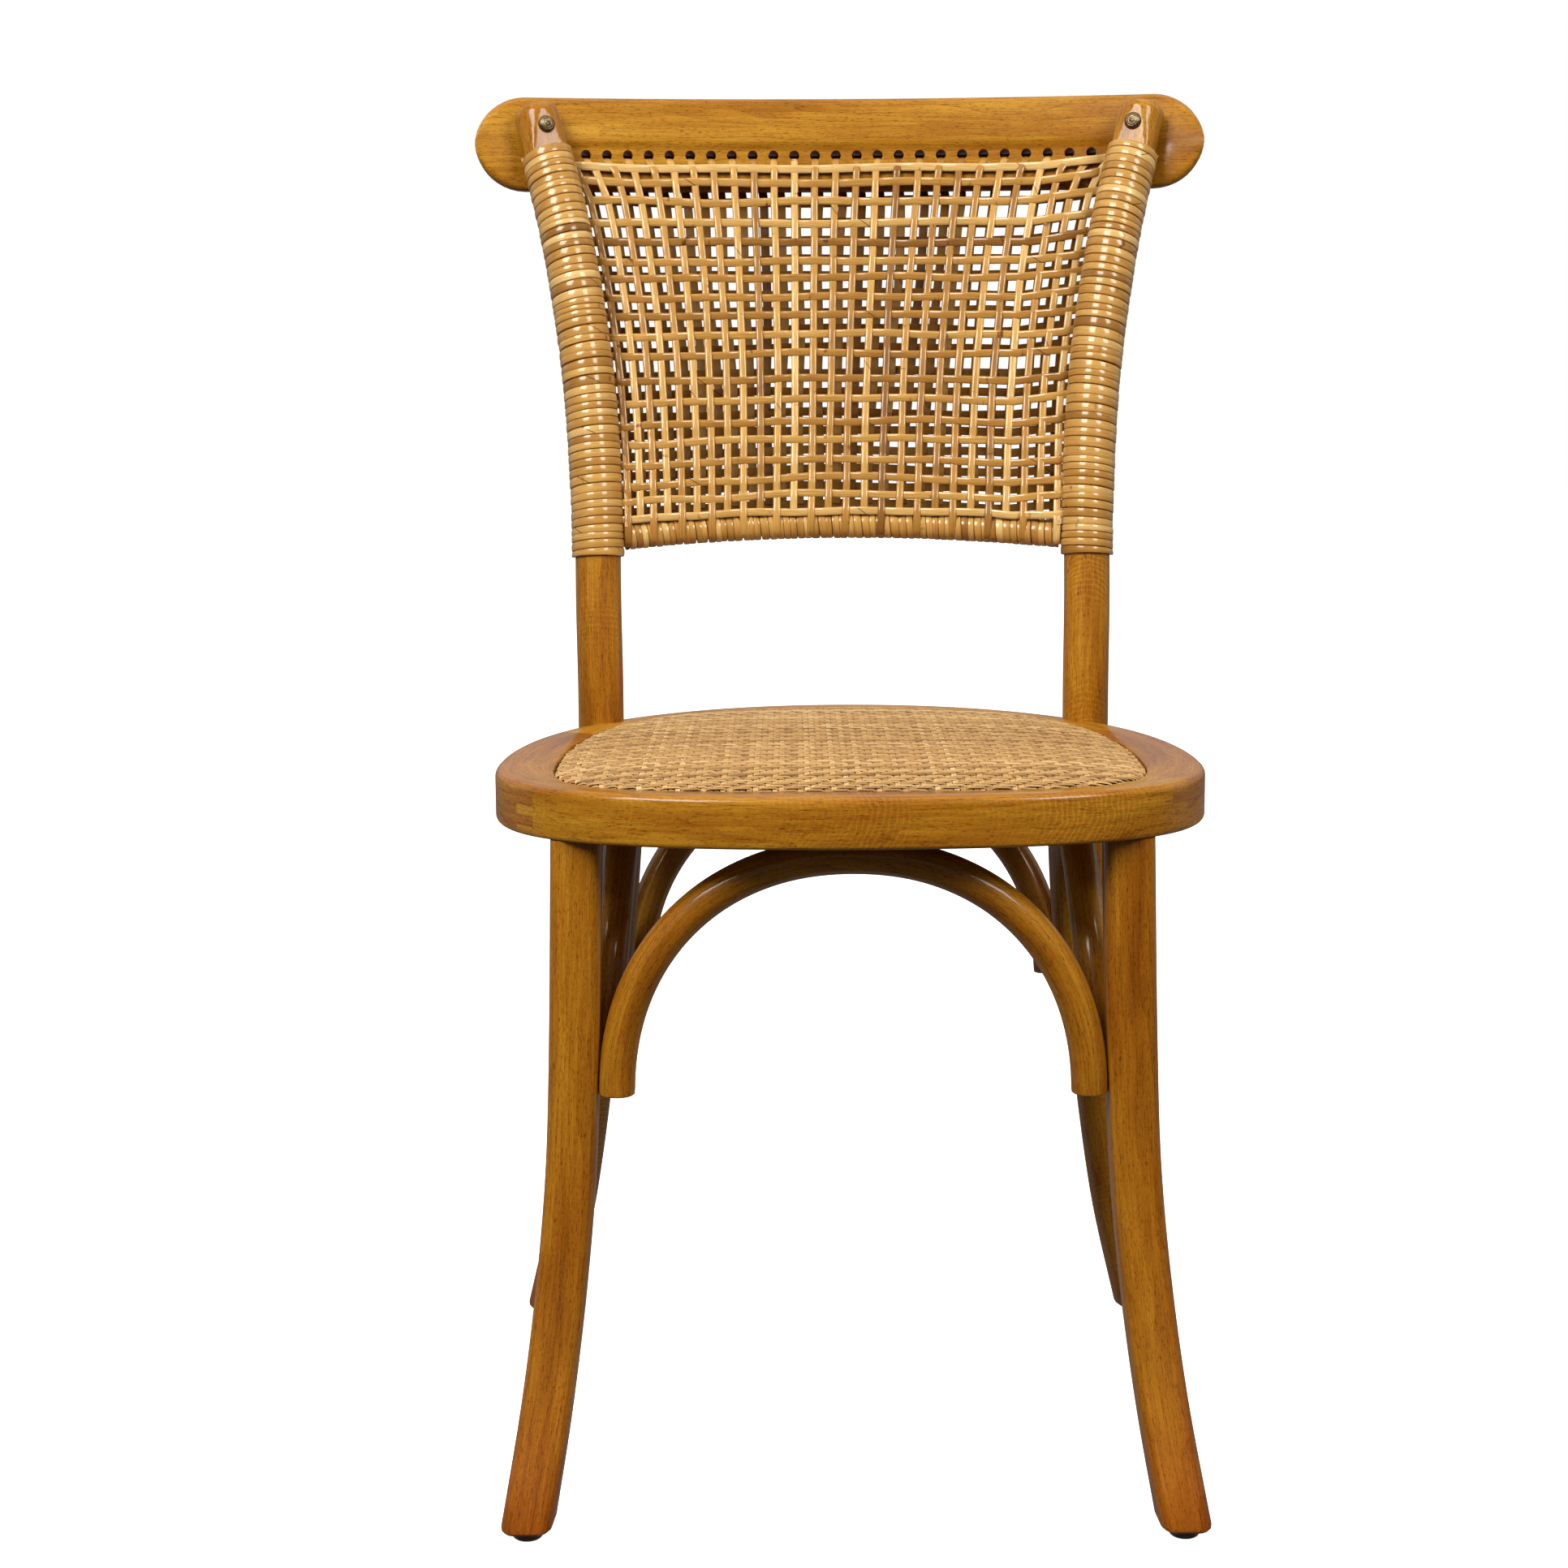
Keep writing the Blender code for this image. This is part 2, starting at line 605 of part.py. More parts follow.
def front_arch_foot(hand):
    """On the inner face of a front leg."""
    leg = front_leg_at(FRONT_ARCH_FOOT, hand)
    inward = FRONT_LEG_SIDE / 2 + CLEARANCE + ARCH_RADIUS
    return Vector((leg.x - inward * hand, leg.y - FRONT_ARCH_SETBACK, FRONT_ARCH_FOOT))


def rear_arch_foot(hand):
    """On the inner side of a rear leg."""
    leg = rear_leg_at(REAR_ARCH_FOOT, hand)
    return Vector((leg.x - ARCH_TO_REAR_LEG * hand, leg.y, REAR_ARCH_FOOT))


def side_arch_front_foot(hand):
    """On the rounded rear corner of a front leg."""
    leg = front_leg_at(SIDE_ARCH_FRONT_FOOT, hand)
    flat = FRONT_LEG_SIDE / 2 - FRONT_LEG_CORNER
    touch = FRONT_LEG_CORNER + CLEARANCE + ARCH_RADIUS
    beside = SIDE_ARCH_FRONT_OFFSET - flat
    behind = flat + (touch ** 2 - beside ** 2) ** 0.5
    return Vector((leg.x - SIDE_ARCH_FRONT_OFFSET * hand, leg.y + behind, SIDE_ARCH_FRONT_FOOT))


def side_arch_rear_foot(hand):
    """On the front of a rear leg, a little to its inner side."""
    leg = rear_leg_at(SIDE_ARCH_REAR_FOOT, hand)
    ahead = (ARCH_TO_REAR_LEG ** 2 - SIDE_ARCH_REAR_OFFSET ** 2) ** 0.5
    return Vector((leg.x - SIDE_ARCH_REAR_OFFSET * hand, leg.y - ahead, SIDE_ARCH_REAR_FOOT))


def arch_plan():
    """Start, end and crown of each arch, with how high over its ends the screws go."""
    plan = {}
    start = front_arch_foot(-1)
    end = front_arch_foot(1)
    plan["front"] = (start, end, Vector((0, start.y, ARCH_CROWN)), ARCH_SCREW_RISE)
    start = rear_arch_foot(-1)
    end = rear_arch_foot(1)
    plan["rear"] = (start, end, Vector((0, start.y + REAR_ARCH_LEAN, ARCH_CROWN)), ARCH_SCREW_RISE)
    for name, hand in (("left", -1), ("right", 1)):
        start = side_arch_front_foot(hand)
        end = side_arch_rear_foot(hand)
        crown = Vector(((HALF_WIDTH - SIDE_ARCH_CROWN_INSET) * hand, (start.y + end.y) / 2, ARCH_CROWN))
        plan[name] = (start, end, crown, SIDE_SCREW_RISE)
    return plan


def leg_for_end(arch, first, hand):
    """Which leg an arch's end is screwed to: its name and its centre line."""
    is_front = arch == "front" or (arch in ("left", "right") and first)
    side = hand if arch in ("front", "rear") else {"left": -1, "right": 1}[arch]
    name = ("left_" if side < 0 else "right_") + ("front_leg" if is_front else "rear_leg")
    path = front_leg_path(side) if is_front else rear_leg_path(side)
    return name, path


def make_arches(pieces):
    """The four arches, with a screw through each end into its leg and one up into the ring."""
    for arch, (start, end, crown, rise) in arch_plan().items():
        name = arch + "_arch"
        pieces[name] = make_arch(name, start, end, crown)
        path = arch_path(start, end, crown, 80)
        half = len(path) // 2
        for first, line in ((True, path[:half]), (False, path[:half:-1])):
            height = line[0].z + rise
            centre = at_height(line, height)
            leg_name, leg_path = leg_for_end(arch, first, -1 if first else 1)
            leg = at_height(leg_path, height)
            into = (leg - centre).normalized()
            seat = centre - into * (ARCH_RADIUS - ARCH_SCREW_DOME)
            to_leg = FRONT_LEG_SIDE / 2 if "front" in leg_name else REAR_LEG_RADIUS
            length = (leg - seat).length - to_leg + SCREW_BITE
            tag = ("left", "right")[not first] if arch in ("front", "rear") else ("front", "rear")[not first]
            fasten(pieces, "arch_screw_" + arch + "_" + tag, seat, into, length, [name, leg_name])
        top = max(path, key=lambda point: point.z)
        seat = top - Z_AXIS * (ARCH_RADIUS - ARCH_SCREW_DOME)
        length = 2 * ARCH_RADIUS - ARCH_SCREW_DOME + SCREW_BITE
        fasten(pieces, "crown_screw_" + arch, seat, Z_AXIS, length, [name, "seat_rail_" + arch])


def fasten(pieces, name, seat, into, length, through):
    """A screw through some pieces, and its holes in them."""
    pieces[name] = make_screw(name, seat, into, length, ARCH_SCREW_HEAD, ARCH_SCREW_DOME, ARCH_SCREW_SHANK,
                              STEEL)
    for piece in through:
        holes = screw_holes(seat, into, length, ARCH_SCREW_HEAD, ARCH_SCREW_SHANK, ARCH_RADIUS)
        cut(pieces[piece], holes)


def post_at_crest():
    return rear_leg_at(CREST_Z, 1)


def crest_centre(x, z):
    """Depth of the crest rail's middle at a place across and a height."""
    post = post_at_crest()
    middle = post.y + REAR_LEG_RADIUS + CREST_THICKNESS / 2 - CREST_GROOVE
    bend = (post.x ** 2 - x ** 2) / (2 * CREST_BEND_RADIUS)
    return middle + bend + (z - CREST_Z) * sin(CREST_TILT) / cos(CREST_TILT)


def crest_section(x, half_height):
    """The crest rail's section: rounded edges, with the front set back below the step."""
    edge = min(CREST_EDGE_ROUND, half_height / 2)
    half = CREST_THICKNESS / 2
    diagonal = edge * (1 - cos(pi / 4))
    step = half_height * BAND_STEP_SHARE
    back = BAND_STEP * half_height / (CREST_HEIGHT / 2)
    points = [(-half, step + back), (-half, half_height - edge), (-half + diagonal, half_height - diagonal),
              (-half + edge, half_height), (half - edge, half_height), (half - diagonal, half_height - diagonal),
              (half, half_height - edge), (half, edge - half_height), (half - diagonal, diagonal - half_height),
              (half - edge, -half_height), (edge + back - half, -half_height),
              (diagonal + back - half, diagonal - half_height), (back - half, edge - half_height),
              (back - half, step)]
    ring = []
    for depth, height in points:
        ring.append(Vector((x, crest_centre(x, CREST_Z + height) + depth, CREST_Z + height)))
    return ring


def crest_half_length():
    return post_at_crest().x + CREST_OVERHANG


def make_crest_rail(pieces):
    """A bent plank with round ends, a row of holes for the cane and a groove round each post."""
    radius = CREST_HEIGHT / 2
    straight = crest_half_length() - radius
    stations = []
    for angle in (80, 62, 42, 21):
        stations.append((-straight - radius * sin(radians(angle)), radius * cos(radians(angle))))
    spans = 16
    for i in range(spans + 1):
        stations.append((straight * (2 * i / spans - 1), radius))
    for angle in (21, 42, 62, 80):
        stations.append((straight + radius * sin(radians(angle)), radius * cos(radians(angle))))
    rings = [crest_section(x, half_height) for x, half_height in stations]
    crest = add_piece("crest_rail", skin(rings), WOOD)
    cut(crest, [add_cutter(merged(crest_holes()))])
    for hand in (-1, 1):
        cut(crest, post_groove(hand))
    pieces["crest_rail"] = crest


def into_crest(x, turn=0):
    """From the front of the crest rail into the wood, square to its face, at a place across. A
    turn swings the direction outward."""
    flat = Vector((x / CREST_BEND_RADIUS, 1, 0)).normalized()
    swing = Vector((flat.x * cos(turn) + flat.y * sin(turn), flat.y * cos(turn) - flat.x * sin(turn), 0))
    return (swing * cos(CREST_TILT) - Z_AXIS * sin(CREST_TILT)).normalized()


def crest_holes():
    """Rods for the row of holes, drilled square to the face of the lower band."""
    rods = []
    height = CREST_Z - CREST_HOLE_DROP
    for i in range(CREST_HOLES):
        x = (i - (CREST_HOLES - 1) / 2) * CREST_HOLE_SPACING
        mouth = Vector((x, crest_centre(x, height) - CREST_THICKNESS / 2 + BAND_STEP, height))
        reach = into_crest(x) * CREST_THICKNESS
        rods.append(rod(mouth - reach, mouth + 2 * reach, CREST_HOLE_RADIUS))
    return rods


def post_groove(hand):
    """The room in the crest rail for a post, and the wider room for its winding."""
    path = rear_leg_path(hand)
    start = at_height(path, WINDING_TOP - CREST_HEIGHT)
    step = at_height(path, WINDING_TOP + CLEARANCE)
    end = path[-1] + (path[-1] - path[-2]).normalized() * CREST_HEIGHT
    room = REAR_LEG_RADIUS / 2
    cutters = []
    for stop, radius in (
        (end, REAR_LEG_RADIUS + CLEARANCE),
        (step, hole_radius(POST_WINDING_RADIUS, BAR_SIDES)),
    ):
        inner = [point for point in path if start.z + room < point.z < stop.z - room]
        line = [start] + inner + [stop]
        cutters.append(add_cutter(skin(bar_rings(line, X_AXIS, [radius] * len(line), BAR_SIDES))))
    return cutters


def crest_screw_direction(hand):
    """Into the wood at a post. The screw's flat looks a little further inward than the rail."""
    return into_crest(post_at_crest().x * hand, SCREW_TURN * hand)


def fasten_crest(pieces):
    """A flat on each post for the screw's head, and the screw through the post into the crest rail."""
    for side, hand in (("left", -1), ("right", 1)):
        into = crest_screw_direction(hand)
        height = (WINDING_TOP + BACK_TOP) / 2
        centre = rear_leg_at(height, hand)
        seat = centre - into * (REAR_LEG_RADIUS - SCREW_FACET_DEPTH)
        top = rear_leg_at(BACK_TOP, hand)
        up = (top - centre).normalized()
        across = up.cross(into).normalized()
        up = into.cross(across).normalized()
        low = -(height - WINDING_TOP - STRAND_THICKNESS)
        corners = []
        for u, v in ((-1, 0), (1, 0), (1, 1), (-1, 1)):
            rise = up * (low if v == 0 else CREST_HEIGHT)
            corners.append(seat + across * u * 2 * REAR_LEG_RADIUS + rise)
        flat = skin([corners, [corner - into * REAR_LEG_RADIUS for corner in corners]])
        post = pieces[side + "_rear_leg"]
        cut(post, [add_cutter(flat)])
        length = 2 * REAR_LEG_RADIUS - SCREW_FACET_DEPTH + SCREW_BITE
        name = "crest_screw_" + side
        seat = seat - into * CLEARANCE
        pieces[name] = make_screw(name, seat, into, length, CREST_SCREW_HEAD, CREST_SCREW_DOME,
                                  CREST_SCREW_SHANK, BRASS)
        for piece in (post, pieces["crest_rail"]):
            hole = rod(seat - into * CREST_SCREW_DOME, seat + into * (length + CLEARANCE),
                       hole_radius(CREST_SCREW_SHANK, SCREW_SIDES))
            cut(piece, [add_cutter(hole)])


def bottom_rail_point(share):
    """The centre line of the bottom rail, with share from -1 at the left post to 1 at the right."""
    post = rear_leg_at(BOTTOM_RAIL_Z, 1)
    curve = 1 - share ** 2
    return Vector((post.x * share, post.y + BOTTOM_RAIL_BOW * curve, BOTTOM_RAIL_Z + BOTTOM_RAIL_RISE * curve))


def bottom_rail_end_share():
    """Where the rail's shoulder meets the round of the post."""
    post = rear_leg_at(BOTTOM_RAIL_Z, 1)
    return 1 - (REAR_LEG_RADIUS + 2 * CLEARANCE) / post.x


def make_bottom_rail(pieces):
    """A bowed round rail with a tenon in each post."""
    end = bottom_rail_end_share()
    path = [bottom_rail_point(end * (2 * i / 12 - 1)) for i in range(13)]
    tenon = BOTTOM_TENON_LENGTH / (path[1] - path[0]).length
    line = [path[0].lerp(path[1], -tenon), path[0]] + path + [path[-1], path[-1].lerp(path[-2], -tenon)]
    radii = [BOTTOM_TENON_RADIUS] * 2 + [BOTTOM_RAIL_RADIUS] * len(path) + [BOTTOM_TENON_RADIUS] * 2
    rail_rings = bar_rings(line, Z_AXIS, radii, ARCH_SIDES)
    pieces["back_bottom_rail"] = add_piece("back_bottom_rail", skin(rail_rings), WOOD)
    for name, inside, outside in (("left_rear_leg", line[1], line[0]), ("right_rear_leg", line[-2], line[-1])):
        along = (outside - inside).normalized()
        socket = rod(inside, outside + along * CLEARANCE, hole_radius(BOTTOM_TENON_RADIUS, 12), 12)
        cut(pieces[name], [add_cutter(socket)])


def strand_rings(axis, base, width, hand, turn_points, start_angle):
    """Sections of a flat strand wound round a bar, with a straight run on at both ends.
    The strand is flat where it lies on the bar and narrower on its outer side."""
    rings = []
    for i, (point, tangent, first, second) in enumerate(axis):
        angle = start_angle - hand * tau * i / turn_points
        outward = first * cos(angle) + second * sin(angle)
        rings.append(strand_section(point, outward, tangent, base, width))
    lead = [corner * 2 - after for corner, after in zip(rings[0], rings[1])]
    trail = [corner * 2 - before for corner, before in zip(rings[-1], rings[-2])]
    run = STRAND_THICKNESS
    return [straight_run(lead, rings[0], run)] + rings + [straight_run(trail, rings[-1], run)]


def strand_section(point, outward, tangent, base, width):
    inner = point + outward * base
    outer = inner + outward * STRAND_THICKNESS
    half = tangent * (width / 2)
    narrow = half * STRAND_TOP_SHARE
    return [inner - half, inner + half, outer + narrow, outer - narrow]


def straight_run(ring, beside, length):
    """The ring moved so that it lies one length from its neighbour."""
    middle = sum(ring, Vector()) / len(ring)
    near = sum(beside, Vector()) / len(beside)
    move = (middle - near).normalized() * length + near - middle
    return [point + move for point in ring]


def least_gap(rings, turn_points):
    """Least distance between points of a strand that lie more than half a turn apart."""
    least = None
    for i, ring in enumerate(rings):
        for other in rings[i + turn_points // 2 + 1:i + 2 * turn_points]:
            for point in ring:
                for far in other:
                    gap = (point - far).length
                    least = gap if least is None else min(least, gap)
    return least


def even_frames(path, side, count, margin):
    """Frames at even distances along a path, starting and ending a margin short of its ends."""
    distances = [0]
    for low, high in zip(path, path[1:]):
        distances.append(distances[-1] + (high - low).length)
    found = []
    k = 0
    for i in range(count + 1):
        target = margin + (distances[-1] - 2 * margin) * i / count
        while k < len(path) - 2 and distances[k + 1] < target:
            k += 1
        share = (target - distances[k]) / (distances[k + 1] - distances[k])
        found.append(path[k].lerp(path[k + 1], share))
    return frames(found, side)


def make_winding(pieces, name, path, side, base, hand, steps, turn_points, start_angle):
    """One unbroken strand wound along a path, with its least gap to itself printed. Half its
    width and the climb of its straight ends stay within the path."""
    turns = steps / turn_points
    length = sum((b - a).length for a, b in zip(path, path[1:]))
    coarse = length / (turns + 1)
    margin = coarse / 2 + coarse * STRAND_THICKNESS / (tau * base)
    pitch = (length - 2 * margin) / turns
    axis = even_frames(path, side, steps, margin)
    rings = strand_rings(axis, base, pitch - STRAND_GAP, hand, turn_points, start_angle)
    print(name, "turns", turns, "least gap to itself in mm", round(least_gap(rings, turn_points) * 1000, 2))
    pieces[name] = add_piece(name, skin(rings), CANE)


def make_windings(pieces):
    """Each post's strand starts behind the post and ends on its inner side, just under the crest
    rail's holes. The bottom rail's strand starts and ends under the rail."""
    steps = POST_TURNS * POST_TURN_POINTS - POST_TURN_POINTS // 4
    start = pi + tau * steps / POST_TURN_POINTS
    for side, hand in (("left", -1), ("right", 1)):
        path = rear_leg_path(hand, 12)
        low = at_height(path, WINDING_BOTTOM)
        high = at_height(path, WINDING_TOP)
        line = [low] + [point for point in path if low.z < point.z < high.z] + [high]
        make_winding(pieces, side + "_post_winding", line, X_AXIS, POST_WINDING_BASE, hand, steps,
                     POST_TURN_POINTS, start if hand > 0 else pi - start)
    end = bottom_rail_end_share() - (POST_WINDING_RADIUS - REAR_LEG_RADIUS) / POST_X
    line = [bottom_rail_point(end * (2 * i / 40 - 1)) for i in range(41)]
    make_winding(pieces, "bottom_rail_winding", line, Z_AXIS, RAIL_WINDING_BASE, 1,
                 RAIL_TURNS * RAIL_TURN_POINTS, RAIL_TURN_POINTS, pi)


def net_point(share, height, face):
    """A point on a net. Share runs from -1 to 1 between the posts and height from 0 at the bottom
    rail to 1 at the crest holes. Face is 1 for the net in front and -1 for the one behind, which
    bends over the lower edge of the crest rail."""
    top_z = CREST_Z - CREST_HOLE_DROP
    edge_z = CREST_Z - CREST_HEIGHT / 2
    room = POST_WINDING_RADIUS + NET_STANDOFF
    rail = bottom_rail_point(share * (1 - room / rear_leg_at(BOTTOM_RAIL_Z, 1).x))
    if height <= NET_BEND_SHARE:
        z = rail.z + (edge_z - rail.z) * height / NET_BEND_SHARE
    else:
        z = edge_z + (top_z - edge_z) * (height - NET_BEND_SHARE) / (1 - NET_BEND_SHARE)
    x = share * (rear_leg_at(z, 1).x - room)
    stand = NET_STANDOFF + NET_THICKNESS / 2
    high_z = top_z if face > 0 else edge_z
    high_x = share * (rear_leg_at(high_z, 1).x - room)
    surface = BAND_STEP - CREST_THICKNESS / 2 if face > 0 else CREST_THICKNESS / 2
    high_y = crest_centre(high_x, high_z) + surface - face * stand
    lean = atan2(high_y - rail.y, high_z - rail.z)
    low_y = rail.y - face * (RAIL_WINDING_RADIUS + stand) / cos(lean)
    y = low_y + (high_y - low_y) * (z - rail.z) / (high_z - rail.z)
    if z > high_z:
        y = crest_centre(x, z) + surface - face * stand
    return Vector((x, y, z))


def strip_edges(count, length):
    """Shares of both edges of each of a number of strips, from 0 to 1."""
    half = NET_STRIP_WIDTH / length / 2
    places = [half + (1 - 2 * half) * i / (count - 1) for i in range(count)]
    return [edge for place in places for edge in (place - half, place + half)]


def net_heights(count, face):
    """Shares of both edges of the level strips. Behind, one strip ends at the crest rail's edge."""
    height = CREST_Z - BOTTOM_RAIL_Z
    if face > 0:
        return strip_edges(count, height)
    below = [share * NET_BEND_SHARE for share in strip_edges(count - 1, height * NET_BEND_SHARE)]
    return below + [1 - NET_STRIP_WIDTH / height, 1]


def make_net(pieces, name, counts, face):
    """A flat net of upright and level strips with open gaps between them."""
    width = 2 * rear_leg_at((BOTTOM_RAIL_Z + CREST_Z) / 2, 1).x
    across = [2 * share - 1 for share in strip_edges(counts[0], width)]
    up = net_heights(counts[1], face)
    bm = bmesh.new()
    layers = []
    for side in (-1, 1):
        offset = Y_AXIS * (side * NET_THICKNESS / 2)
        layers.append([[bm.verts.new(net_point(u, v, face) + offset) for u in across] for v in up])
    for row in range(len(up) - 1):
        for column in range(len(across) - 1):
            if is_gap(row, column):
                continue
            add_net_cell(bm, layers, row, column, len(up) - 1, len(across) - 1)
    pieces[name] = add_piece(name, bm, CANE)


def is_gap(row, column):
    return row % 2 == 1 and column % 2 == 1


def add_net_cell(bm, layers, row, column, rows, columns):
    """Front and back faces of one cell of the net, and a wall wherever it borders a gap or the edge."""
    corners = ((row, column), (row, column + 1), (row + 1, column + 1), (row + 1, column))
    front = [layers[0][r][c] for r, c in corners]
    back = [layers[1][r][c] for r, c in corners]
    bm.faces.new(front)
    bm.faces.new(back)
    neighbours = ((row - 1, column), (row, column + 1), (row + 1, column), (row, column - 1))
    for k, (r, c) in enumerate(neighbours):
        outside = r < 0 or c < 0 or r >= rows or c >= columns
        if outside or is_gap(r, c):
            bm.faces.new((front[k], front[k - 3], back[k - 3], back[k]))


def seat_rear_posts(pieces):
    """Notches for the posts in the rear rail, and a bolt through it into each post."""
    height = (RING_BOTTOM + LEDGE_HEIGHT) / 2
    for side, hand in (("left", -1), ("right", 1)):
        path = rear_leg_path(hand)
        line = [at_height(path, RING_BOTTOM - OVERRUN), at_height(path, SEAT_HEIGHT + OVERRUN)]
        radii = [REAR_LEG_RADIUS + CLEARANCE] * len(line)
        cut(pieces["seat_rail_rear"], [add_cutter(skin(bar_rings(line, X_AXIS, radii, BAR_SIDES)))])
        post = at_height(path, height)
        aim = Vector((0, SEAT_DEPTH * BOLT_AIM_SHARE, height))
        into = (post - aim).normalized()
        tip = post + into * (REAR_LEG_RADIUS / 4)
        seat = tip - into * BOLT_LENGTH
        name = "post_bolt_" + side
        pieces[name] = make_screw(name, seat, into, BOLT_LENGTH, BOLT_HEAD, BOLT_HEAD_HEIGHT, BOLT_SHANK, STEEL)
        for piece in ("seat_rail_rear", side + "_rear_leg"):
            cut(pieces[piece], screw_holes(seat, into, BOLT_LENGTH, BOLT_HEAD, BOLT_SHANK, LEDGE_WIDTH))


def seat_front_legs(pieces):
    """Blind sockets for the tenons of the front legs."""
    for hand in (-1, 1):
        shoulder = front_leg_path(hand)[-1]
        end = shoulder + Z_AXIS * (TENON_LENGTH + 2 * CLEARANCE)
        socket = rod(shoulder - Z_AXIS * OVERRUN, end, hole_radius(TENON_RADIUS, 16), 16)
        cut(pieces["seat_rail_front"], [add_cutter(socket)])


def fasten_board(pieces):
    """Four screws up through the ledge into the seat board."""
    rows = (("front", FRONT_RIM + LEDGE_WIDTH / 2), ("rear", SEAT_DEPTH - REAR_RIM - LEDGE_WIDTH / 2))
    for rail, y in rows:
        for side, hand in (("left", -1), ("right", 1)):
            seat = Vector((BOARD_SCREW_SPREAD * hand, y, RING_BOTTOM + ARCH_SCREW_DOME + CLEARANCE))
            length = LEDGE_HEIGHT - seat.z + CLEARANCE + BOARD_SCREW_BITE
            name = "board_screw_" + rail + "_" + side
            fasten(pieces, name, seat, Z_AXIS, length, ["seat_rail_" + rail, "seat_board"])


def make_legs(pieces):
    for side, hand in (("left", -1), ("right", 1)):
        pieces[side + "_rear_leg"] = make_rear_leg(side + "_rear_leg", hand)
        pieces[side + "_front_leg"] = make_front_leg(side + "_front_leg", hand)
        for end, path in (("rear", rear_leg_path(hand)), ("front", front_leg_path(hand))):
            foot = at_height(path, FOOT_HEIGHT)
            name = "glide_" + end + "_" + side
            pieces[name] = make_glide(name, foot)
            cut(pieces[side + "_" + end + "_leg"], [nail_hole(foot)])


def centre_on_floor(pieces):
    """Move the whole chair so that the origin lies under its middle."""
    bpy.context.view_layer.update()
    corners = []
    for piece in pieces.values():
        corners += [piece.matrix_world @ vertex.co for vertex in piece.data.vertices]
    low = [min(corner[axis] for corner in corners) for axis in range(3)]
    high = [max(corner[axis] for corner in corners) for axis in range(3)]
    move = Vector(((low[0] + high[0]) / 2, (low[1] + high[1]) / 2, low[2]))
    for piece in pieces.values():
        piece.location -= move
    print("middle was at", [round(value, 5) for value in move])
    print("size", [round(top - bottom, 4) for top, bottom in zip(high, low)])


def main():
    clear_scene()
    pieces = {}
    for rail, piece in make_seat_ring().items():
        pieces["seat_rail_" + rail] = piece
    pieces["seat_board"] = make_seat_board()
    pieces["seat_cane_panel"] = make_seat_panel()
    make_legs(pieces)
    seat_front_legs(pieces)
    seat_rear_posts(pieces)
    make_arches(pieces)
    fasten_board(pieces)
    make_crest_rail(pieces)
    fasten_crest(pieces)
    make_bottom_rail(pieces)
    make_windings(pieces)
    make_net(pieces, "cane_net_front", FRONT_NET_COUNTS, 1)
    make_net(pieces, "cane_net_rear", REAR_NET_COUNTS, -1)
    centre_on_floor(pieces)


main()
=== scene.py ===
# %% [markdown]
# # A cane back dining chair
#
# The chair is bent wood under a warm honey varnish: round rear legs that run up to the crest
# rail, soft square front legs, four arches under a seat ring, and cane that is woven over the
# seat and over both faces of the back. The solids come ready from the imported model. This script
# dresses them: each visible part gets its fine shape and its finish, in the same place.
#
# First the imported model is loaded, and the front of its seat ring is read from its box.

# %% Load the imported chair
from bisect import bisect
from math import atan2, cos, hypot, pi, radians, sin, tau

import bmesh
import bpy
from mathutils import Matrix, Vector, noise
from mathutils.geometry import interpolate_bezier


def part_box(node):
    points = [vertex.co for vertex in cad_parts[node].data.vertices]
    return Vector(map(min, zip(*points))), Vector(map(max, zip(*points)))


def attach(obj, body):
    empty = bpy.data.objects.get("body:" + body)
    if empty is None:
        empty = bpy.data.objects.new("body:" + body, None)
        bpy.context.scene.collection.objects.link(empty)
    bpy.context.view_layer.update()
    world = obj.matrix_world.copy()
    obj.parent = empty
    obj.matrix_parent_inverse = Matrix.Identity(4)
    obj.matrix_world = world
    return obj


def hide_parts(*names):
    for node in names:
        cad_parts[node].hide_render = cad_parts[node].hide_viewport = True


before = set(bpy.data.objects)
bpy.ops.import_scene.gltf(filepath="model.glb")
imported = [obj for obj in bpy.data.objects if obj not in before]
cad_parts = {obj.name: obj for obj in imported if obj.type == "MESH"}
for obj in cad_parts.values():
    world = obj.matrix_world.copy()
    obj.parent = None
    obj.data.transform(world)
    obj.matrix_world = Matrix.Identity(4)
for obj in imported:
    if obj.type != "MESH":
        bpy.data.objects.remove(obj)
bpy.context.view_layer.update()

RING_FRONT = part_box("seat_rail_front")[0].y
print("packed model:", len(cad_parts), "nodes, ring front at", round(RING_FRONT, 5))

# %% [markdown]
# Next come the sizes of the wooden bars, in metres. They repeat the sizes of the solids, and are
# drawn with y = 0 at the front of the seat ring, so one shift at the end puts every piece
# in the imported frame.

# %% Sizes of the wooden parts
SEAT_HEIGHT, SEAT_WIDTH, SEAT_DEPTH = 0.453, 0.451, 0.434
RING_THICKNESS = 0.0315
FRONT_RIM, SIDE_RIM, REAR_RIM = 0.026, 0.0385, 0.022
LEDGE_WIDTH, RABBET_DEPTH = 0.050, 0.009
RING_OUTLINE = ((0, 0), (0.776, 0), (1, 0.115), (1, 0.334), (1, 0.786), (0.488, 1), (0, 1))
PAD_OUTLINE = ((0, 0), (0.856, 0), (1, 0.036), (1, 0.295), (1, 0.813), (0.695, 1), (0, 1))
PANEL_CROWN = 0.007
BOARD_THICKNESS = 0.0055
GAP = 0.0003

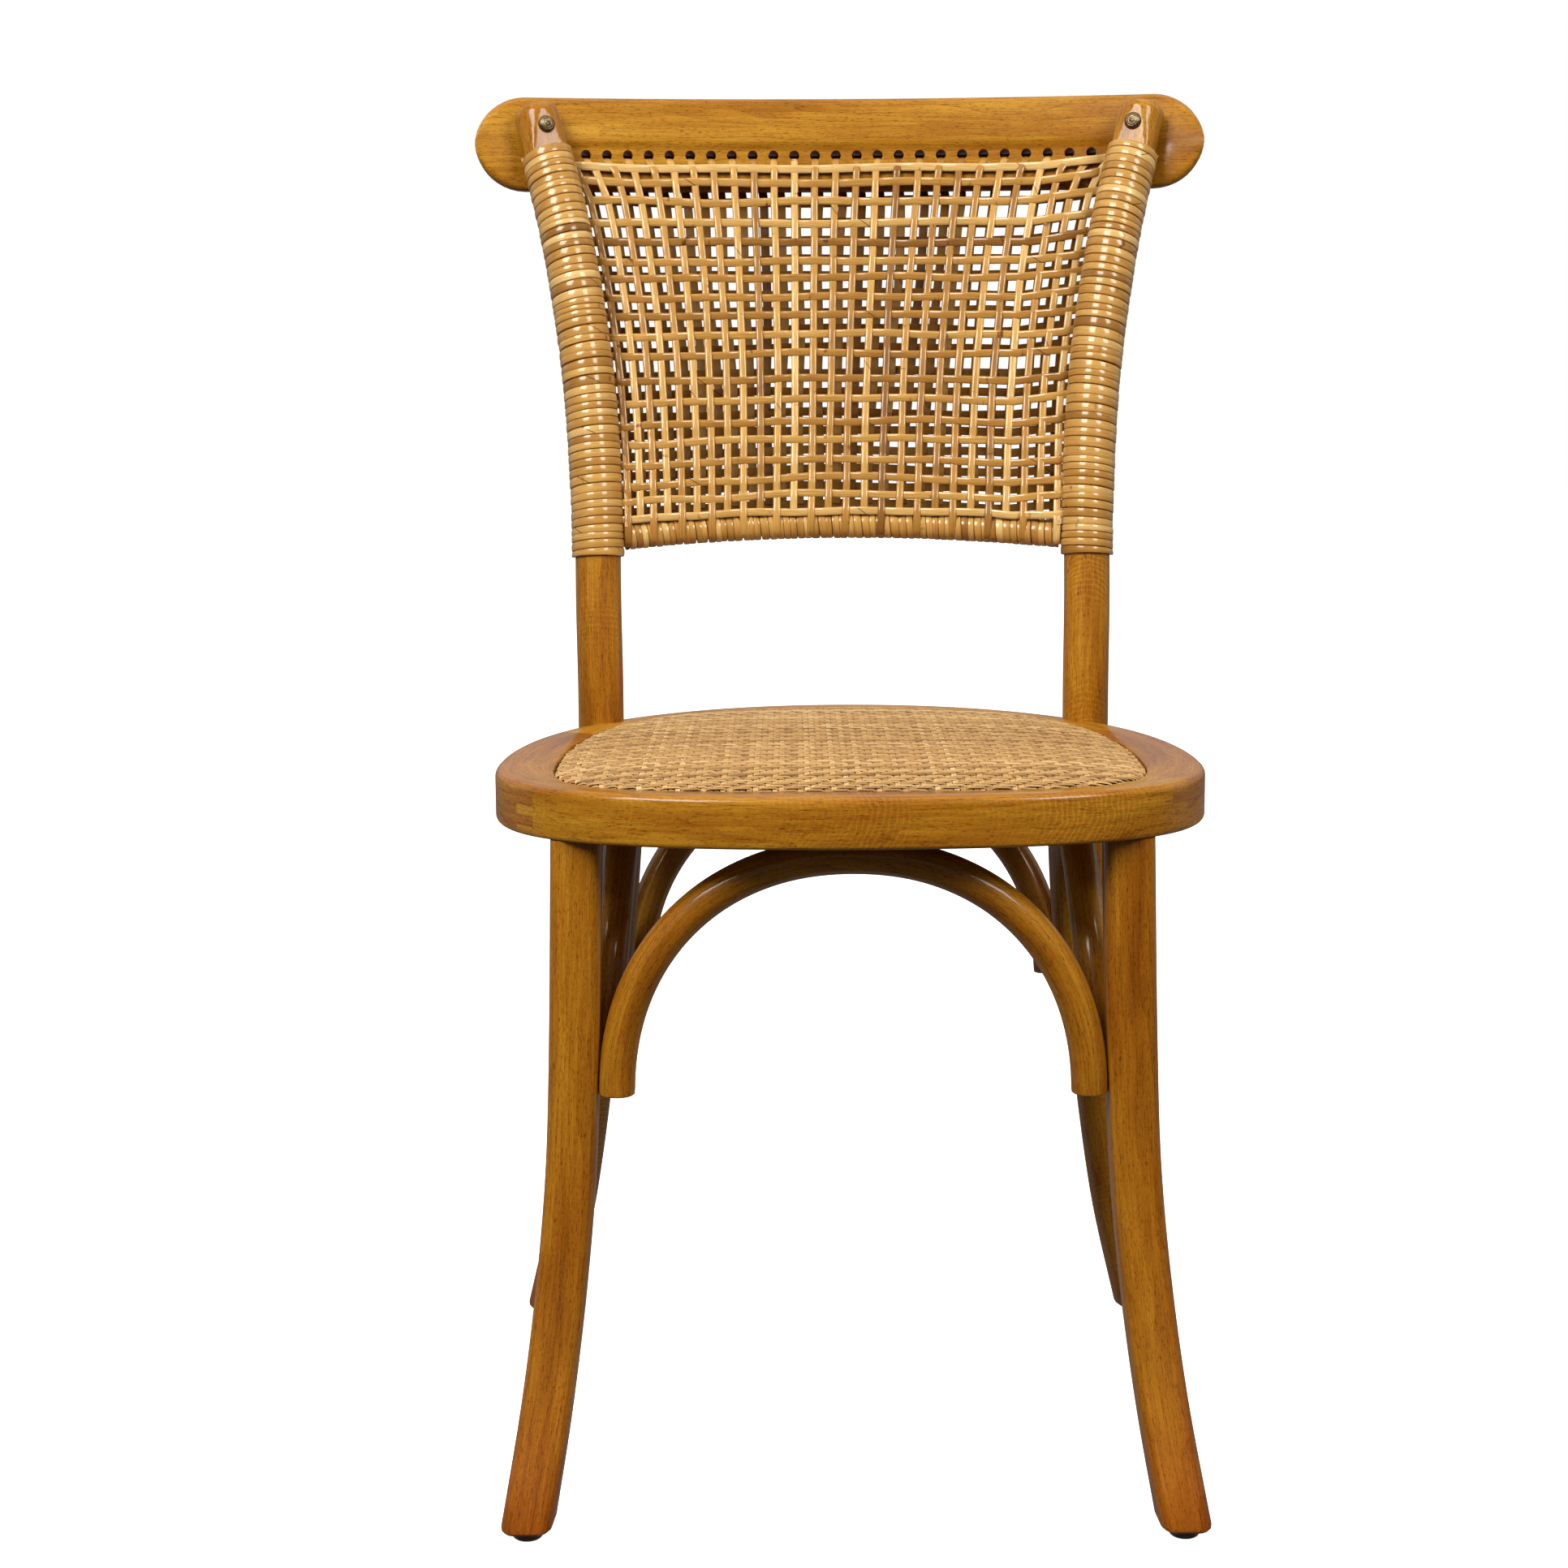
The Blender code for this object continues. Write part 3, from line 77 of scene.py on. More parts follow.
REAR_LEG_RADIUS = 0.0162
BACK_HEIGHT = 0.438
LOWER_REAR = ((0, 1, 1), (0.234, 0.504, 0.58), (0.552, 0.112, 0.17), (0.773, 0, 0.04), (1, 0, 0))
UPPER_REAR = ((0.07, 0, 0), (0.183, 0.02, 0.0625), (0.352, 0.043, 0.198), (0.56, 0.174, 0.406),
              (0.772, 0.474, 0.646), (0.952, 0.879, 0.9375), (1, 1, 1))
REAR_FOOT_FLARE, REAR_FOOT_SWEEP, BACK_FLARE, BACK_RAKE = 0.0484, 0.038, 0.0494, 0.096

FRONT_LEG_SIDE, FRONT_LEG_CORNER = 0.031, 0.0085
FRONT_FOOT_FLARE, FRONT_FOOT_KICK = 0.0325, 0.062
FRONT_LEG = ((0, 1, 1), (0.166, 0.655, 0.5), (0.332, 0.391, 0.19), (0.504, 0.197, 0.03),
             (0.688, 0.098, 0), (1, 0, 0))
GLIDE_RADIUS, GLIDE_THICKNESS = 0.00925, 0.0055

X_AXIS, Y_AXIS, Z_AXIS = Vector((1, 0, 0)), Vector((0, 1, 0)), Vector((0, 0, 1))
HALF_WIDTH = SEAT_WIDTH / 2
RING_BOTTOM = SEAT_HEIGHT - RING_THICKNESS
FOOT_HEIGHT = GLIDE_THICKNESS + GAP
POST = Vector((HALF_WIDTH * 0.7654, SEAT_DEPTH * 0.7995, 0))
FRONT_LEG_TOP = Vector((HALF_WIDTH * 0.745, SEAT_DEPTH * 0.1221, 0))
BACK_TOP = SEAT_HEIGHT + BACK_HEIGHT
print("seat ring", SEAT_WIDTH, "wide and", SEAT_DEPTH, "deep; posts end at", BACK_TOP)

# %% [markdown]
# The camera stands where the photographer stood: a little left of the middle, above the seat,
# tipped down by eight degrees. The lens and the small upward offset of the picture were fitted to
# the outline of the chair.

# %% Camera
LENS_MM, FILM_MM, PICTURE_SHIFT = 62.95, 36, -0.0345
CAMERA_PLACE = (-0.0364, -1.5914 + RING_FRONT, 0.7146)
CAMERA_YAW, CAMERA_PITCH, CAMERA_ROLL = 0.003, radians(82.10), -0.0053

view = bpy.data.cameras.new("view")
view.lens = LENS_MM
view.sensor_width = FILM_MM
view.shift_y = PICTURE_SHIFT
view.clip_end = 50
camera = bpy.data.objects.new("camera", view)
camera.location = CAMERA_PLACE
aim = Matrix.Rotation(CAMERA_YAW, 4, "Z") @ Matrix.Rotation(CAMERA_PITCH, 4, "X")
camera.rotation_euler = (aim @ Matrix.Rotation(CAMERA_ROLL, 4, "Z")).to_euler()
bpy.context.collection.objects.link(camera)
bpy.context.scene.camera = camera
print("camera at", CAMERA_PLACE)

# %% [markdown]
# ## Materials and light
#
# Materials and the surround are trees of nodes. A small helper adds a node with its values and
# settings, so that each material below reads as the list of what it is made of. The helper works
# for the world's tree too.

# %% Material helpers


def add_node(material, kind, settings=None, **values):
    """Add a node. A value is a plain one or the socket of another node. It is given under its
    socket's name, with _ for a space, or as _ and the socket's number."""
    node = material.node_tree.nodes.new("ShaderNode" + kind)
    for name, value in (settings or {}).items():
        setattr(node, name, value)
    for name, value in values.items():
        key = int(name[1:]) if name[1:].isdigit() else name.replace("_", " ")
        socket = node.inputs[key]
        if isinstance(value, bpy.types.NodeSocket):
            material.node_tree.links.new(value, socket)
        else:
            socket.default_value = value
    return node


def add_ramp(material, factor, stops):
    """A colour ramp through stops of place and colour."""
    node = add_node(material, "ValToRGB", Fac=factor)
    elements = node.color_ramp.elements
    while len(elements) < len(stops):
        elements.new(0.5)
    for element, (place, colour) in zip(elements, stops):
        element.position = place
        element.color = colour if len(colour) == 4 else (*colour, 1)
    return node.outputs["Color"]


def add_math(material, operation, first, second=0.0):
    settings = {"operation": operation}
    return add_node(material, "Math", settings, _0=first, _1=second).outputs[0]


def plus(material, first, second):
    return add_math(material, "ADD", first, second)


def times(material, first, second):
    return add_math(material, "MULTIPLY", first, second)


def tint(material, colour, *others):
    """Multiply colours with each other."""
    settings = {"data_type": "RGBA", "blend_type": "MULTIPLY"}
    for other in others:
        colour = add_node(material, "Mix", settings, _0=1.0, _6=colour, _7=other).outputs[2]
    return colour


def start_material(name, **values):
    material = bpy.data.materials.new(name)
    material.use_nodes = True
    shader = material.node_tree.nodes["Principled BSDF"]
    for socket, value in values.items():
        shader.inputs[socket.replace("_", " ")].default_value = value
    return material, shader


def finish_material(material, shader, colour, roughness, height, depth, strength):
    """Link the colour, the roughness, if it varies, and a bump of a depth in metres."""
    links = material.node_tree.links
    links.new(colour, shader.inputs["Base Color"])
    if roughness is not None:
        links.new(roughness, shader.inputs["Roughness"])
    bump = add_node(material, "Bump", Strength=strength, Distance=depth, Height=height)
    links.new(bump.outputs["Normal"], shader.inputs["Normal"])
    return material


def stretched(material, source, scale):
    """The coordinates stretched, so that a pattern is long where its scale is small."""
    return add_node(material, "Mapping", Vector=source, Scale=scale).outputs["Vector"]


def noise_of(material, vector, stretch, scale, detail=2.0, roughness=0.5):
    """Values of a noise from 0 to 1, stretched where a stretch is given."""
    if stretch:
        vector = stretched(material, vector, stretch)
    return add_node(material, "TexNoise", Vector=vector, Scale=scale, Detail=detail,
                    Roughness=roughness).outputs["Fac"]


# %% [markdown]
# A photo of furniture for sale is lit by large soft boxes in front of a white sheet. The broadest
# light stands on the left of the camera, a weaker one on the right, and one hangs above. The
# sheet is bright to the eye, but little of its light comes back to the chair, so the shadows
# under the seat stay deep. The plain display transform keeps white white.

# %% Floor, surround and lights
FLOOR_HALF_SIZE = 12
SURROUND_STEPS = (("Y", -0.1, 0.3, 0.20, 0.9), ("Y", 0.4, 0.75, 1.0, 0.55), ("Z", -0.02, 0.15, 0.34, 1.0))
SOFTBOXES = (("key_left", (-1.35, -1.9, 2.55), (0, 0, 0.5), (1.3, 1.3), 94),
             ("key_right", (1.6, -1.8, 2.3), (0, 0, 0.5), (0.9, 1.2), 49),
             ("overhead", (0, -0.2, 2.9), (0, 0, 0.4), (2.4, 1.8), 8))
bpy.context.scene.view_settings.view_transform = "Standard"


def new_object(name, bm):
    """Turn a finished bmesh into an object of the scene."""
    mesh = bpy.data.meshes.new(name)
    bm.to_mesh(mesh)
    bm.free()
    made = bpy.data.objects.new(name, mesh)
    bpy.context.collection.objects.link(made)
    return made


def add_floor():
    bm = bmesh.new()
    bmesh.ops.create_grid(bm, x_segments=1, y_segments=1, size=FLOOR_HALF_SIZE)
    floor = new_object("floor", bm)
    sheet, _ = start_material("white_sheet", Base_Color=(0.93, 0.93, 0.93, 1), Roughness=0.9,
                              Specular_IOR_Level=0.1, Emission_Color=(1, 1, 1, 1), Emission_Strength=1.0)
    floor.data.materials.append(sheet)
    floor.visible_diffuse = False
    floor.visible_glossy = False


def add_softbox(name, place, target, size, watts):
    lamp = bpy.data.lights.new(name, "AREA")
    lamp.shape = "RECTANGLE"
    lamp.size, lamp.size_y = size
    lamp.energy = watts
    box = bpy.data.objects.new(name, lamp)
    box.location = place
    box.rotation_euler = (Vector(target) - Vector(place)).to_track_quat("-Z", "Y").to_euler()
    bpy.context.collection.objects.link(box)


def add_surround():
    """White to the eye. As a light it is bright at the sides, weaker behind, below and in front.
    Each step names an axis, where it starts and ends, and its strength before and after."""
    world = bpy.data.worlds.new("white_room")
    world.use_nodes = True
    place = add_node(world, "TexCoord").outputs["Generated"]
    parts = add_node(world, "SeparateXYZ", Vector=place)
    strength = 1.0
    for axis, start, end, low, high in SURROUND_STEPS:
        share = add_node(world, "MapRange", {"interpolation_type": "SMOOTHSTEP"}, Value=parts.outputs[axis],
                         From_Min=start, From_Max=end, To_Min=low, To_Max=high).outputs[0]
        strength = add_math(world, "MULTIPLY", strength, share)
    fill = world.node_tree.nodes["Background"]
    fill.inputs["Color"].default_value = (1, 0.985, 0.965, 1)
    world.node_tree.links.new(strength, fill.inputs["Strength"])
    white = add_node(world, "Background", Color=(1, 1, 1, 1))
    seen = add_node(world, "LightPath").outputs["Is Camera Ray"]
    choice = add_node(world, "MixShader", Fac=seen, _1=fill.outputs[0], _2=white.outputs[0])
    world.node_tree.links.new(choice.outputs[0], world.node_tree.nodes["World Output"].inputs["Surface"])
    bpy.context.scene.world = world


add_floor()
for softbox in SOFTBOXES:
    add_softbox(*softbox)
add_surround()
print("lights:", len(SOFTBOXES), "soft boxes and the surround")

# %% [markdown]
# Bent wood is sawn along the trunk and steamed round a form, so its grain follows every curve.
# Each bar therefore carries a "grain" attribute: its own straightened coordinates in metres,
# with the third one along the bar. Growth layers are rings round a line beside the bar, pores
# are short dark dashes along it, and a slow noise makes the stain uneven. The varnish is the
# shader's coat.

# %% Varnished wood
WHITE = (1, 1, 1)
ARC_PERIOD, ARC_CURVE, ARC_CENTRE, ARC_DRIFT = 0.0038, 24, 0.006, 0.010
ARC_TONE_REACH = 0.14


def grain_of(material):
    return add_node(material, "Attribute", {"attribute_name": "grain"}).outputs["Vector"]


def value_of(material, name):
    return add_node(material, "Attribute", {"attribute_name": name}).outputs["Fac"]


def add_arcs(material, grain, tone):
    """Fine curved bands where the growth layers come out at the face, here and there on wood of
    a middle tone: the ring, the arches and the rear legs."""
    parts = add_node(material, "SeparateXYZ", Vector=grain)
    high = plus(material, parts.outputs["Y"], ARC_CENTRE)
    curve = times(material, times(material, high, high), ARC_CURVE)
    drift = times(material, noise_of(material, grain, None, 60, 3, 0.6), ARC_DRIFT)
    place = plus(material, plus(material, parts.outputs["Z"], curve), drift)
    band = add_math(material, "SINE", times(material, place, tau / ARC_PERIOD))
    where = noise_of(material, grain, (0.2, 0.2, 1), 9, 1)
    middle_tone = add_math(material, "COMPARE", tone, 0.5)
    middle_tone.node.inputs[2].default_value = ARC_TONE_REACH
    found = add_ramp(material, where, ((0.46, (0, 0, 0)), (0.58, WHITE)))
    mask = times(material, found, middle_tone)
    pale = add_ramp(material, band, ((0.20, (0.90, 0.86, 0.80)), (0.85, (1.12, 1.18, 1.45))))
    mix = add_node(material, "Mix", {"data_type": "RGBA"}, _0=mask, _6=(*WHITE, 1), _7=pale)
    return mix.outputs[2]


def make_wood(name, along_grain=True):
    """Varnished wood, with its grain along a bar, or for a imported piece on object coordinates."""
    material, shader = start_material(name, Coat_Weight=0.44, Coat_Roughness=0.14,
                                      Specular_IOR_Level=0.08)
    grain = grain_of(material) if along_grain else add_node(material, "TexCoord").outputs["Object"]
    bent = noise_of(material, grain, (1, 1, 0.12), 18, 3)
    sway = add_node(material, "VectorMath", {"operation": "MULTIPLY_ADD"}, _0=bent,
                    _1=(0.050, 0.050, 0), _2=grain).outputs[0]
    rings = {"wave_type": "RINGS", "rings_direction": "Z", "wave_profile": "SAW"}
    layers = add_node(material, "TexWave", rings, Vector=stretched(material, sway, (1, 1, 0.05)), Scale=64,
                      Distortion=1.6, Detail=3, Detail_Scale=1.6).outputs["Fac"]
    late = add_ramp(material, layers, ((0.0, (0.88, 0.83, 0.76)), (0.10, (0.94, 0.92, 0.88)),
                                       (0.45, WHITE), (1.0, (1.05, 1.07, 1.09))))
    stain = noise_of(material, grain, (1, 1, 0.14), 42, 4, 0.6)
    base = add_ramp(material, stain, ((0.26, (0.235, 0.074, 0.0030)), (0.44, (0.350, 0.130, 0.0062)),
                                      (0.58, (0.430, 0.184, 0.0105)), (0.76, (0.540, 0.262, 0.0210))))
    fleck = noise_of(material, grain, (1, 1, 0.13), 1700, 2, 0.6)
    pores = plus(material, fleck, times(material, layers, 0.05))
    dark = add_ramp(material, pores, ((0.36, (0.54, 0.42, 0.30)), (0.47, WHITE)))
    fibre = noise_of(material, grain, (1, 1, 0.03), 820, 3, 0.65)
    silk = add_ramp(material, fibre, ((0.3, (0.78, 0.74, 0.66)), (0.7, (1.15, 1.16, 1.18))))
    sand = noise_of(material, grain, None, 1100, 2, 0.7)
    dust = add_ramp(material, sand, ((0.3, (0.86, 0.85, 0.82)), (0.7, (1.11, 1.12, 1.13))))
    colour = tint(material, base, late, dark, silk, dust)
    if along_grain:
        tone = value_of(material, "tone")
        shift = add_ramp(material, tone, ((0.0, (0.70, 0.36, 0.10)), (0.5, WHITE),
                                          (1.0, (1.14, 1.28, 1.9))))
        colour = tint(material, colour, shift, add_arcs(material, grain, tone))
    gloss = add_node(material, "MapRange", Value=stain, _3=0.34, _4=0.46).outputs[0]
    return finish_material(material, shader, colour, gloss, pores, depth=0.00012, strength=0.25)


WOOD = make_wood("varnished_wood")
PLAIN_WOOD = make_wood("varnished_wood_inside", False)
print("wood:", len(WOOD.node_tree.nodes), "nodes")

# %% [markdown]
# Cane is the shiny skin of a rattan stem, split to a flat underside. Each strand has its own
# tone, fine fibres along it, darker edges from the painted shade of the underside, and here and
# there the scar of a leaf. The attribute "grain" gives the place across and along the strand,
# "tone" its shade, and a third attribute marks the flat underside, painted dark partly as the dull
# pith and partly as shade, and the strand ends deep in the crest rail's holes, painted dark as
# shade. A thin slanted line shows where one strand ends and the next begins. The seat is woven of
# duller strips without varnish.

# %% Cane
JOINT_SPACING, JOINT_SLANT = 0.31, 1.4


def make_cane(name, shades, pith_and_shade, **finish):
    material, shader = start_material(name, **finish)
    grain = grain_of(material)
    patch = noise_of(material, grain, (0.3, 0.3, 1), 16, 3)
    shade = plus(material, times(material, value_of(material, "tone"), 0.62), times(material, patch, 0.42))
    base = add_ramp(material, shade, shades)
    fibre = noise_of(material, grain, (1, 1, 0.02), 3200, 2, 0.6)
    silk = add_ramp(material, fibre, ((0.30, (0.66, 0.60, 0.50)), (0.68, (1.12, 1.12, 1.12))))
    # Painted shade: the flat underside, the edges next to it and the strand ends deep in the holes are
    # darkened, the underside partly also as dull pith.
    shadow = add_ramp(material, value_of(material, "pith_and_shade"),
                      ((0.0, WHITE), (0.5, (0.74, 0.62, 0.46)), (1.0, pith_and_shade)))
    scar = noise_of(material, grain, (0.5, 0.5, 1), 110, 2, 0.7)
    spots = add_ramp(material, scar, ((0.25, (0.35, 0.20, 0.10)), (0.34, WHITE)))
    parts = add_node(material, "SeparateXYZ", Vector=grain)
    place = plus(material, parts.outputs["Z"], times(material, parts.outputs["X"], JOINT_SLANT))
    since = add_math(material, "PINGPONG", place, JOINT_SPACING)
    joint = add_ramp(material, times(material, since, 1000), ((0.35, (0.22, 0.13, 0.06)), (0.60, WHITE)))
    colour = tint(material, base, silk, shadow, spots, joint)
    return finish_material(material, shader, colour, None, fibre, depth=0.00012, strength=0.35)


BACK_SHADES = ((0.16, (0.25, 0.105, 0.018)), (0.38, (0.46, 0.225, 0.045)),
               (0.60, (0.60, 0.335, 0.085)), (0.85, (0.76, 0.50, 0.19)))
SEAT_SHADES = ((0.22, (0.23, 0.115, 0.036)), (0.42, (0.41, 0.230, 0.080)),
               (0.62, (0.57, 0.350, 0.138)), (0.88, (0.78, 0.56, 0.28)))
# The third colour of each cane darkens undersides and strand ends in holes: painted shade, and on the
# undersides partly the dull pith.
CANE = make_cane("back_cane", BACK_SHADES, (0.42, 0.33, 0.20), Roughness=0.36, Coat_Weight=0.70,
                 Coat_Roughness=0.12, Specular_IOR_Level=0.3, Specular_Tint=(1, 0.8, 0.5, 1))
SEAT_CANE = make_cane("seat_weave", SEAT_SHADES, (0.45, 0.36, 0.26), Roughness=0.62,
                      Specular_IOR_Level=0.25)
print("cane:", len(CANE.node_tree.nodes), "nodes")

# %% [markdown]
# The small parts: brass that has gone dull and brown, zinc plated steel, moulded plastic for
# the glides, bare plywood and the dark cloth that shows between the strips of the seat.

# %% Small finishes


def make_metal(name, clean, tarnished, roughness):
    material, shader = start_material(name, Metallic=1.0)
    place = add_node(material, "TexCoord").outputs["Object"]
    cloud = noise_of(material, place, None, 420, 4, 0.6)
    colour = add_ramp(material, cloud, ((0.35, tarnished), (0.62, clean)))
    rough = add_node(material, "MapRange", Value=cloud, _3=roughness + 0.16, _4=roughness).outputs[0]
    return finish_material(material, shader, colour, rough, cloud, depth=0.0001, strength=0.2)


def make_matt(name, light, dark, scale, stretch, roughness, depth):
    material, shader = start_material(name, Roughness=roughness)
    place = add_node(material, "TexCoord").outputs["Object"]
    cloud = noise_of(material, place, stretch, scale, 4, 0.6)
    colour = add_ramp(material, cloud, ((0.35, dark), (0.65, light)))
    return finish_material(material, shader, colour, None, cloud, depth, strength=0.4)


BRASS = make_metal("dull_brass", (0.30, 0.22, 0.12), (0.12, 0.08, 0.04), 0.36)
STEEL = make_metal("zinc_plate", (0.56, 0.56, 0.54), (0.36, 0.36, 0.35), 0.32)
PLASTIC = make_matt("brown_plastic", (0.15, 0.085, 0.052), (0.09, 0.050, 0.030),
                    700, None, 0.42, 0.0001)
PLYWOOD = make_matt("plywood", (0.56, 0.38, 0.20), (0.38, 0.24, 0.12), 160, (1, 0.06, 8), 0.75, 0.0002)
BACKING = make_matt("dark_backing", (0.12, 0.065, 0.028), (0.06, 0.03, 0.012), 900, None, 0.9, 0.0002)
print("finishes:", len(bpy.data.materials))

# %% [markdown]
# ## Bars and strands
#
# Legs, arches and cane strands are all long bars with one section. A bar is made by rolling up
# a grid: a grid of quads is laid out by one operator, its rows are placed on the sections along
# the path, the two long edges are welded, and the ends are closed. The straightened
# coordinates of every vertex are kept as its grain.

# %% Helpers for paths


def smooth_path(points, steps):
    """A curve through the points, with a number of steps between neighbours."""
    last = len(points) - 1
    slopes = []
    for i, point in enumerate(points):
        before, after = points[max(i - 1, 0)], points[min(i + 1, last)]
        slopes.append((after - before) / ((after - point).length + (point - before).length))
    path = [points[0]]
    for i in range(last):
        third = (points[i + 1] - points[i]).length / 3
        out, into = points[i] + slopes[i] * third, points[i + 1] - slopes[i + 1] * third
        path += interpolate_bezier(points[i], out, into, points[i + 1], steps + 1)[1:]
    return path


def frames(path, side):
    """Each point of a path with its tangent and two directions square to it, the first near side."""
    found = []
    for i, point in enumerate(path):
        tangent = (path[min(i + 1, len(path) - 1)] - path[max(i - 1, 0)]).normalized()
        first = (side - tangent * side.dot(tangent)).normalized()
        found.append((point, tangent, first, tangent.cross(first)))
    return found


def at_height(path, height):
    """The point of a rising path at a height."""
    for low, high in zip(path, path[1:]):
        if low.z <= height <= high.z:
            return low.lerp(high, (height - low.z) / (high.z - low.z))
    return path[-1] if height > path[-1].z else path[0]


def lengths_of(path):
    """Distance from the start of a path to each of its points."""
    found = [0.0]
    for low, high in zip(path, path[1:]):
        found.append(found[-1] + (high - low).length)
    return found


def along_path(path, marks, length):
    k = max(0, min(len(path) - 2, bisect(marks, length) - 1))
    return path[k].lerp(path[k + 1], (length - marks[k]) / (marks[k + 1] - marks[k]))


def even_points(path, count):
    """Points at even distances along a path."""
    marks = lengths_of(path)
    return [along_path(path, marks, marks[-1] * i / count) for i in range(count + 1)]


# %% Rolling a grid into a bar


def new_mesh():
    bm = bmesh.new()
    verts = bm.verts.layers
    # The third layer flags painted shade: undersides, partly also pith, and strand ends hidden in holes.
    return bm, verts.float_vector.new("grain"), verts.float.new("tone"), verts.float.new("pith_and_shade")


def roll(bm, layers, rings, grains=None, tones=None, underside=0, hidden=0):
    """Roll a grid into a closed bar through the rings, all of one number of points. The first
    points of each ring may lie on the underside of a strand, and its last rings in a hole; both are
    flagged to be painted darker, the underside partly as pith and partly as shade, the hole as shade."""
    grain, tone, pith_and_shade = layers
    around = len(rings[0])
    made = bmesh.ops.create_grid(bm, x_segments=around, y_segments=len(rings) - 1, size=0.5)["verts"]
    seam = {}
    for i, vert in enumerate(made):
        row, column = divmod(i, around + 1)
        vert.co = rings[row][column % around]
        vert[grain] = grains[row][column % around] if grains else (0, 0, 0)
        vert[tone] = tones[row] if tones else 0.5
        # Painted shade: undersides and rings hidden in a hole get the dark flag.
        vert[pith_and_shade] = 1.0 if column % around < underside or row >= len(rings) - hidden else 0.0
        if column == around:
            seam[vert] = made[i - around]
    bmesh.ops.weld_verts(bm, targetmap=seam)
    for rim in (made[:around], made[-around - 1:-1]):
        bmesh.ops.edgeloop_fill(bm, edges=[bm.edges.get(pair) for pair in zip(rim, rim[1:] + rim[:1])])


def add_bar(bm, layers, path, side, section, seed=0.0, tone=0.5, shapes=None, level=()):
    """A bar along a path. The section is a list of places across, in metres. Shapes may give each
    station its own section, and level the heights at which the first ones are cut level."""
    rings, grains = [], []
    marks = lengths_of(path)
    for i, (point, tangent, first, second) in enumerate(frames(path, side)):
        places = shapes[i] if shapes else section
        ring = [point + first * u + second * v for u, v in places]
        if i < len(level):
            ring = [p + tangent * ((level[i] - p.z) / tangent.z) for p in ring]
        rings.append(ring)
        grains.append([(u + seed * 0.017, v + seed * 0.011, marks[i] + seed * 0.61) for u, v in places])
    tones = tone if isinstance(tone, list) else [tone] * len(rings)
    roll(bm, layers, rings, grains, tones)
    return rings


def round_section(radius, sides):
    return [(radius * cos(tau * k / sides), radius * sin(tau * k / sides)) for k in range(sides)]


def to_frame(bm):
    """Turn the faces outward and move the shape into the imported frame."""
    bmesh.ops.recalc_face_normals(bm, faces=bm.faces)
    bmesh.ops.translate(bm, verts=bm.verts, vec=(0, RING_FRONT, 0))


def hand_over(piece, material, slot, *nodes, smooth=38.0):
    """Give a piece its shading and finish, and its place in the frame for the nodes it replaces."""
    mesh = piece.data
    mesh.shade_smooth()
    mesh.set_sharp_from_angle(angle=radians(smooth))
    mesh.materials.clear()
    mesh.materials.append(material)
    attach(piece, "root")
    if nodes:
        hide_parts(*nodes)
    print(piece.name, len(mesh.polygons), "faces")
    return piece


def finish_piece(name, bm, material, slot, *nodes, smooth=38.0):
    to_frame(bm)
    return hand_over(new_object(name, bm), material, slot, *nodes, smooth=smooth)


# %% [markdown]
# ## Rear legs
#
# Each rear leg is one round rod, bent so that the foot turns out and back, the middle stands
# upright at the seat and the top leans back. The last stretch is planed flat in front for
# the screw that holds the crest rail, and its end is rounded over.

# %% Rear legs
FRONT_TONE, REAR_TONE, ARCH_TONE = 0.34, 0.46, 0.45
FOOT_DARKER, FOOT_DARK_HEIGHT = 0.30, 0.09
FOOT_BEVEL = 0.0042
FOOT_ROUND = [(1 - sin(radians(a)), 1 - cos(radians(a))) for a in (0, 30, 60, 90)]
FOOT_LEVELS = [FOOT_HEIGHT + FOOT_BEVEL * rise for _, rise in FOOT_ROUND]


def foot_tones(line, tone):
    """Darker towards the foot."""
    return [tone - FOOT_DARKER * max(0.0, 1 - point.z / FOOT_DARK_HEIGHT) for point in line]


def rear_leg_path(hand, steps=14):
    points = []
    for height, flare, sweep in LOWER_REAR:
        points.append(Vector(((POST.x + REAR_FOOT_FLARE * flare) * hand, POST.y + REAR_FOOT_SWEEP * sweep,
                              SEAT_HEIGHT * height)))
    for height, flare, rake in UPPER_REAR:
        points.append(Vector(((POST.x + BACK_FLARE * flare) * hand, POST.y + BACK_RAKE * rake,
                              SEAT_HEIGHT + BACK_HEIGHT * height)))
    return smooth_path(points, steps)


CREST_HEIGHT, CREST_THICKNESS = 0.068, 0.022
CREST_BEND_RADIUS, CREST_TILT = 0.957, radians(10)
CREST_Z = BACK_TOP + 0.007 - CREST_HEIGHT / 2
WINDING_TOP = BACK_TOP - 0.034
TOP_DOME = 0.008
FACET_DEPTH, FACET_START = 0.002, 0.004
SCREW_TURN = radians(12)
DOME = [(0.30, 0.97), (0.55, 0.88), (0.75, 0.75), (0.90, 0.56), (0.98, 0.32), (1.0, 0.12)]
REAR_PATH = rear_leg_path(1)
CREST_POST = at_height(REAR_PATH, CREST_Z)


def into_crest(x, turn=0.0):
    """From the front of the crest rail into the wood, square to its face or turned sideways."""
    flat = Vector((x / CREST_BEND_RADIUS, 1, 0)).normalized()
    swing = Vector((flat.x * cos(turn) + flat.y * sin(turn), flat.y * cos(turn) - flat.x * sin(turn), 0))
    return swing * cos(CREST_TILT) - Z_AXIS * sin(CREST_TILT)


def crest_screw_direction(hand):
    return into_crest(CREST_POST.x * hand, SCREW_TURN * hand)


def crest_screw_seat(hand):
    centre = at_height(rear_leg_path(hand), (WINDING_TOP + BACK_TOP) / 2)
    return centre - crest_screw_direction(hand) * (REAR_LEG_RADIUS - FACET_DEPTH)


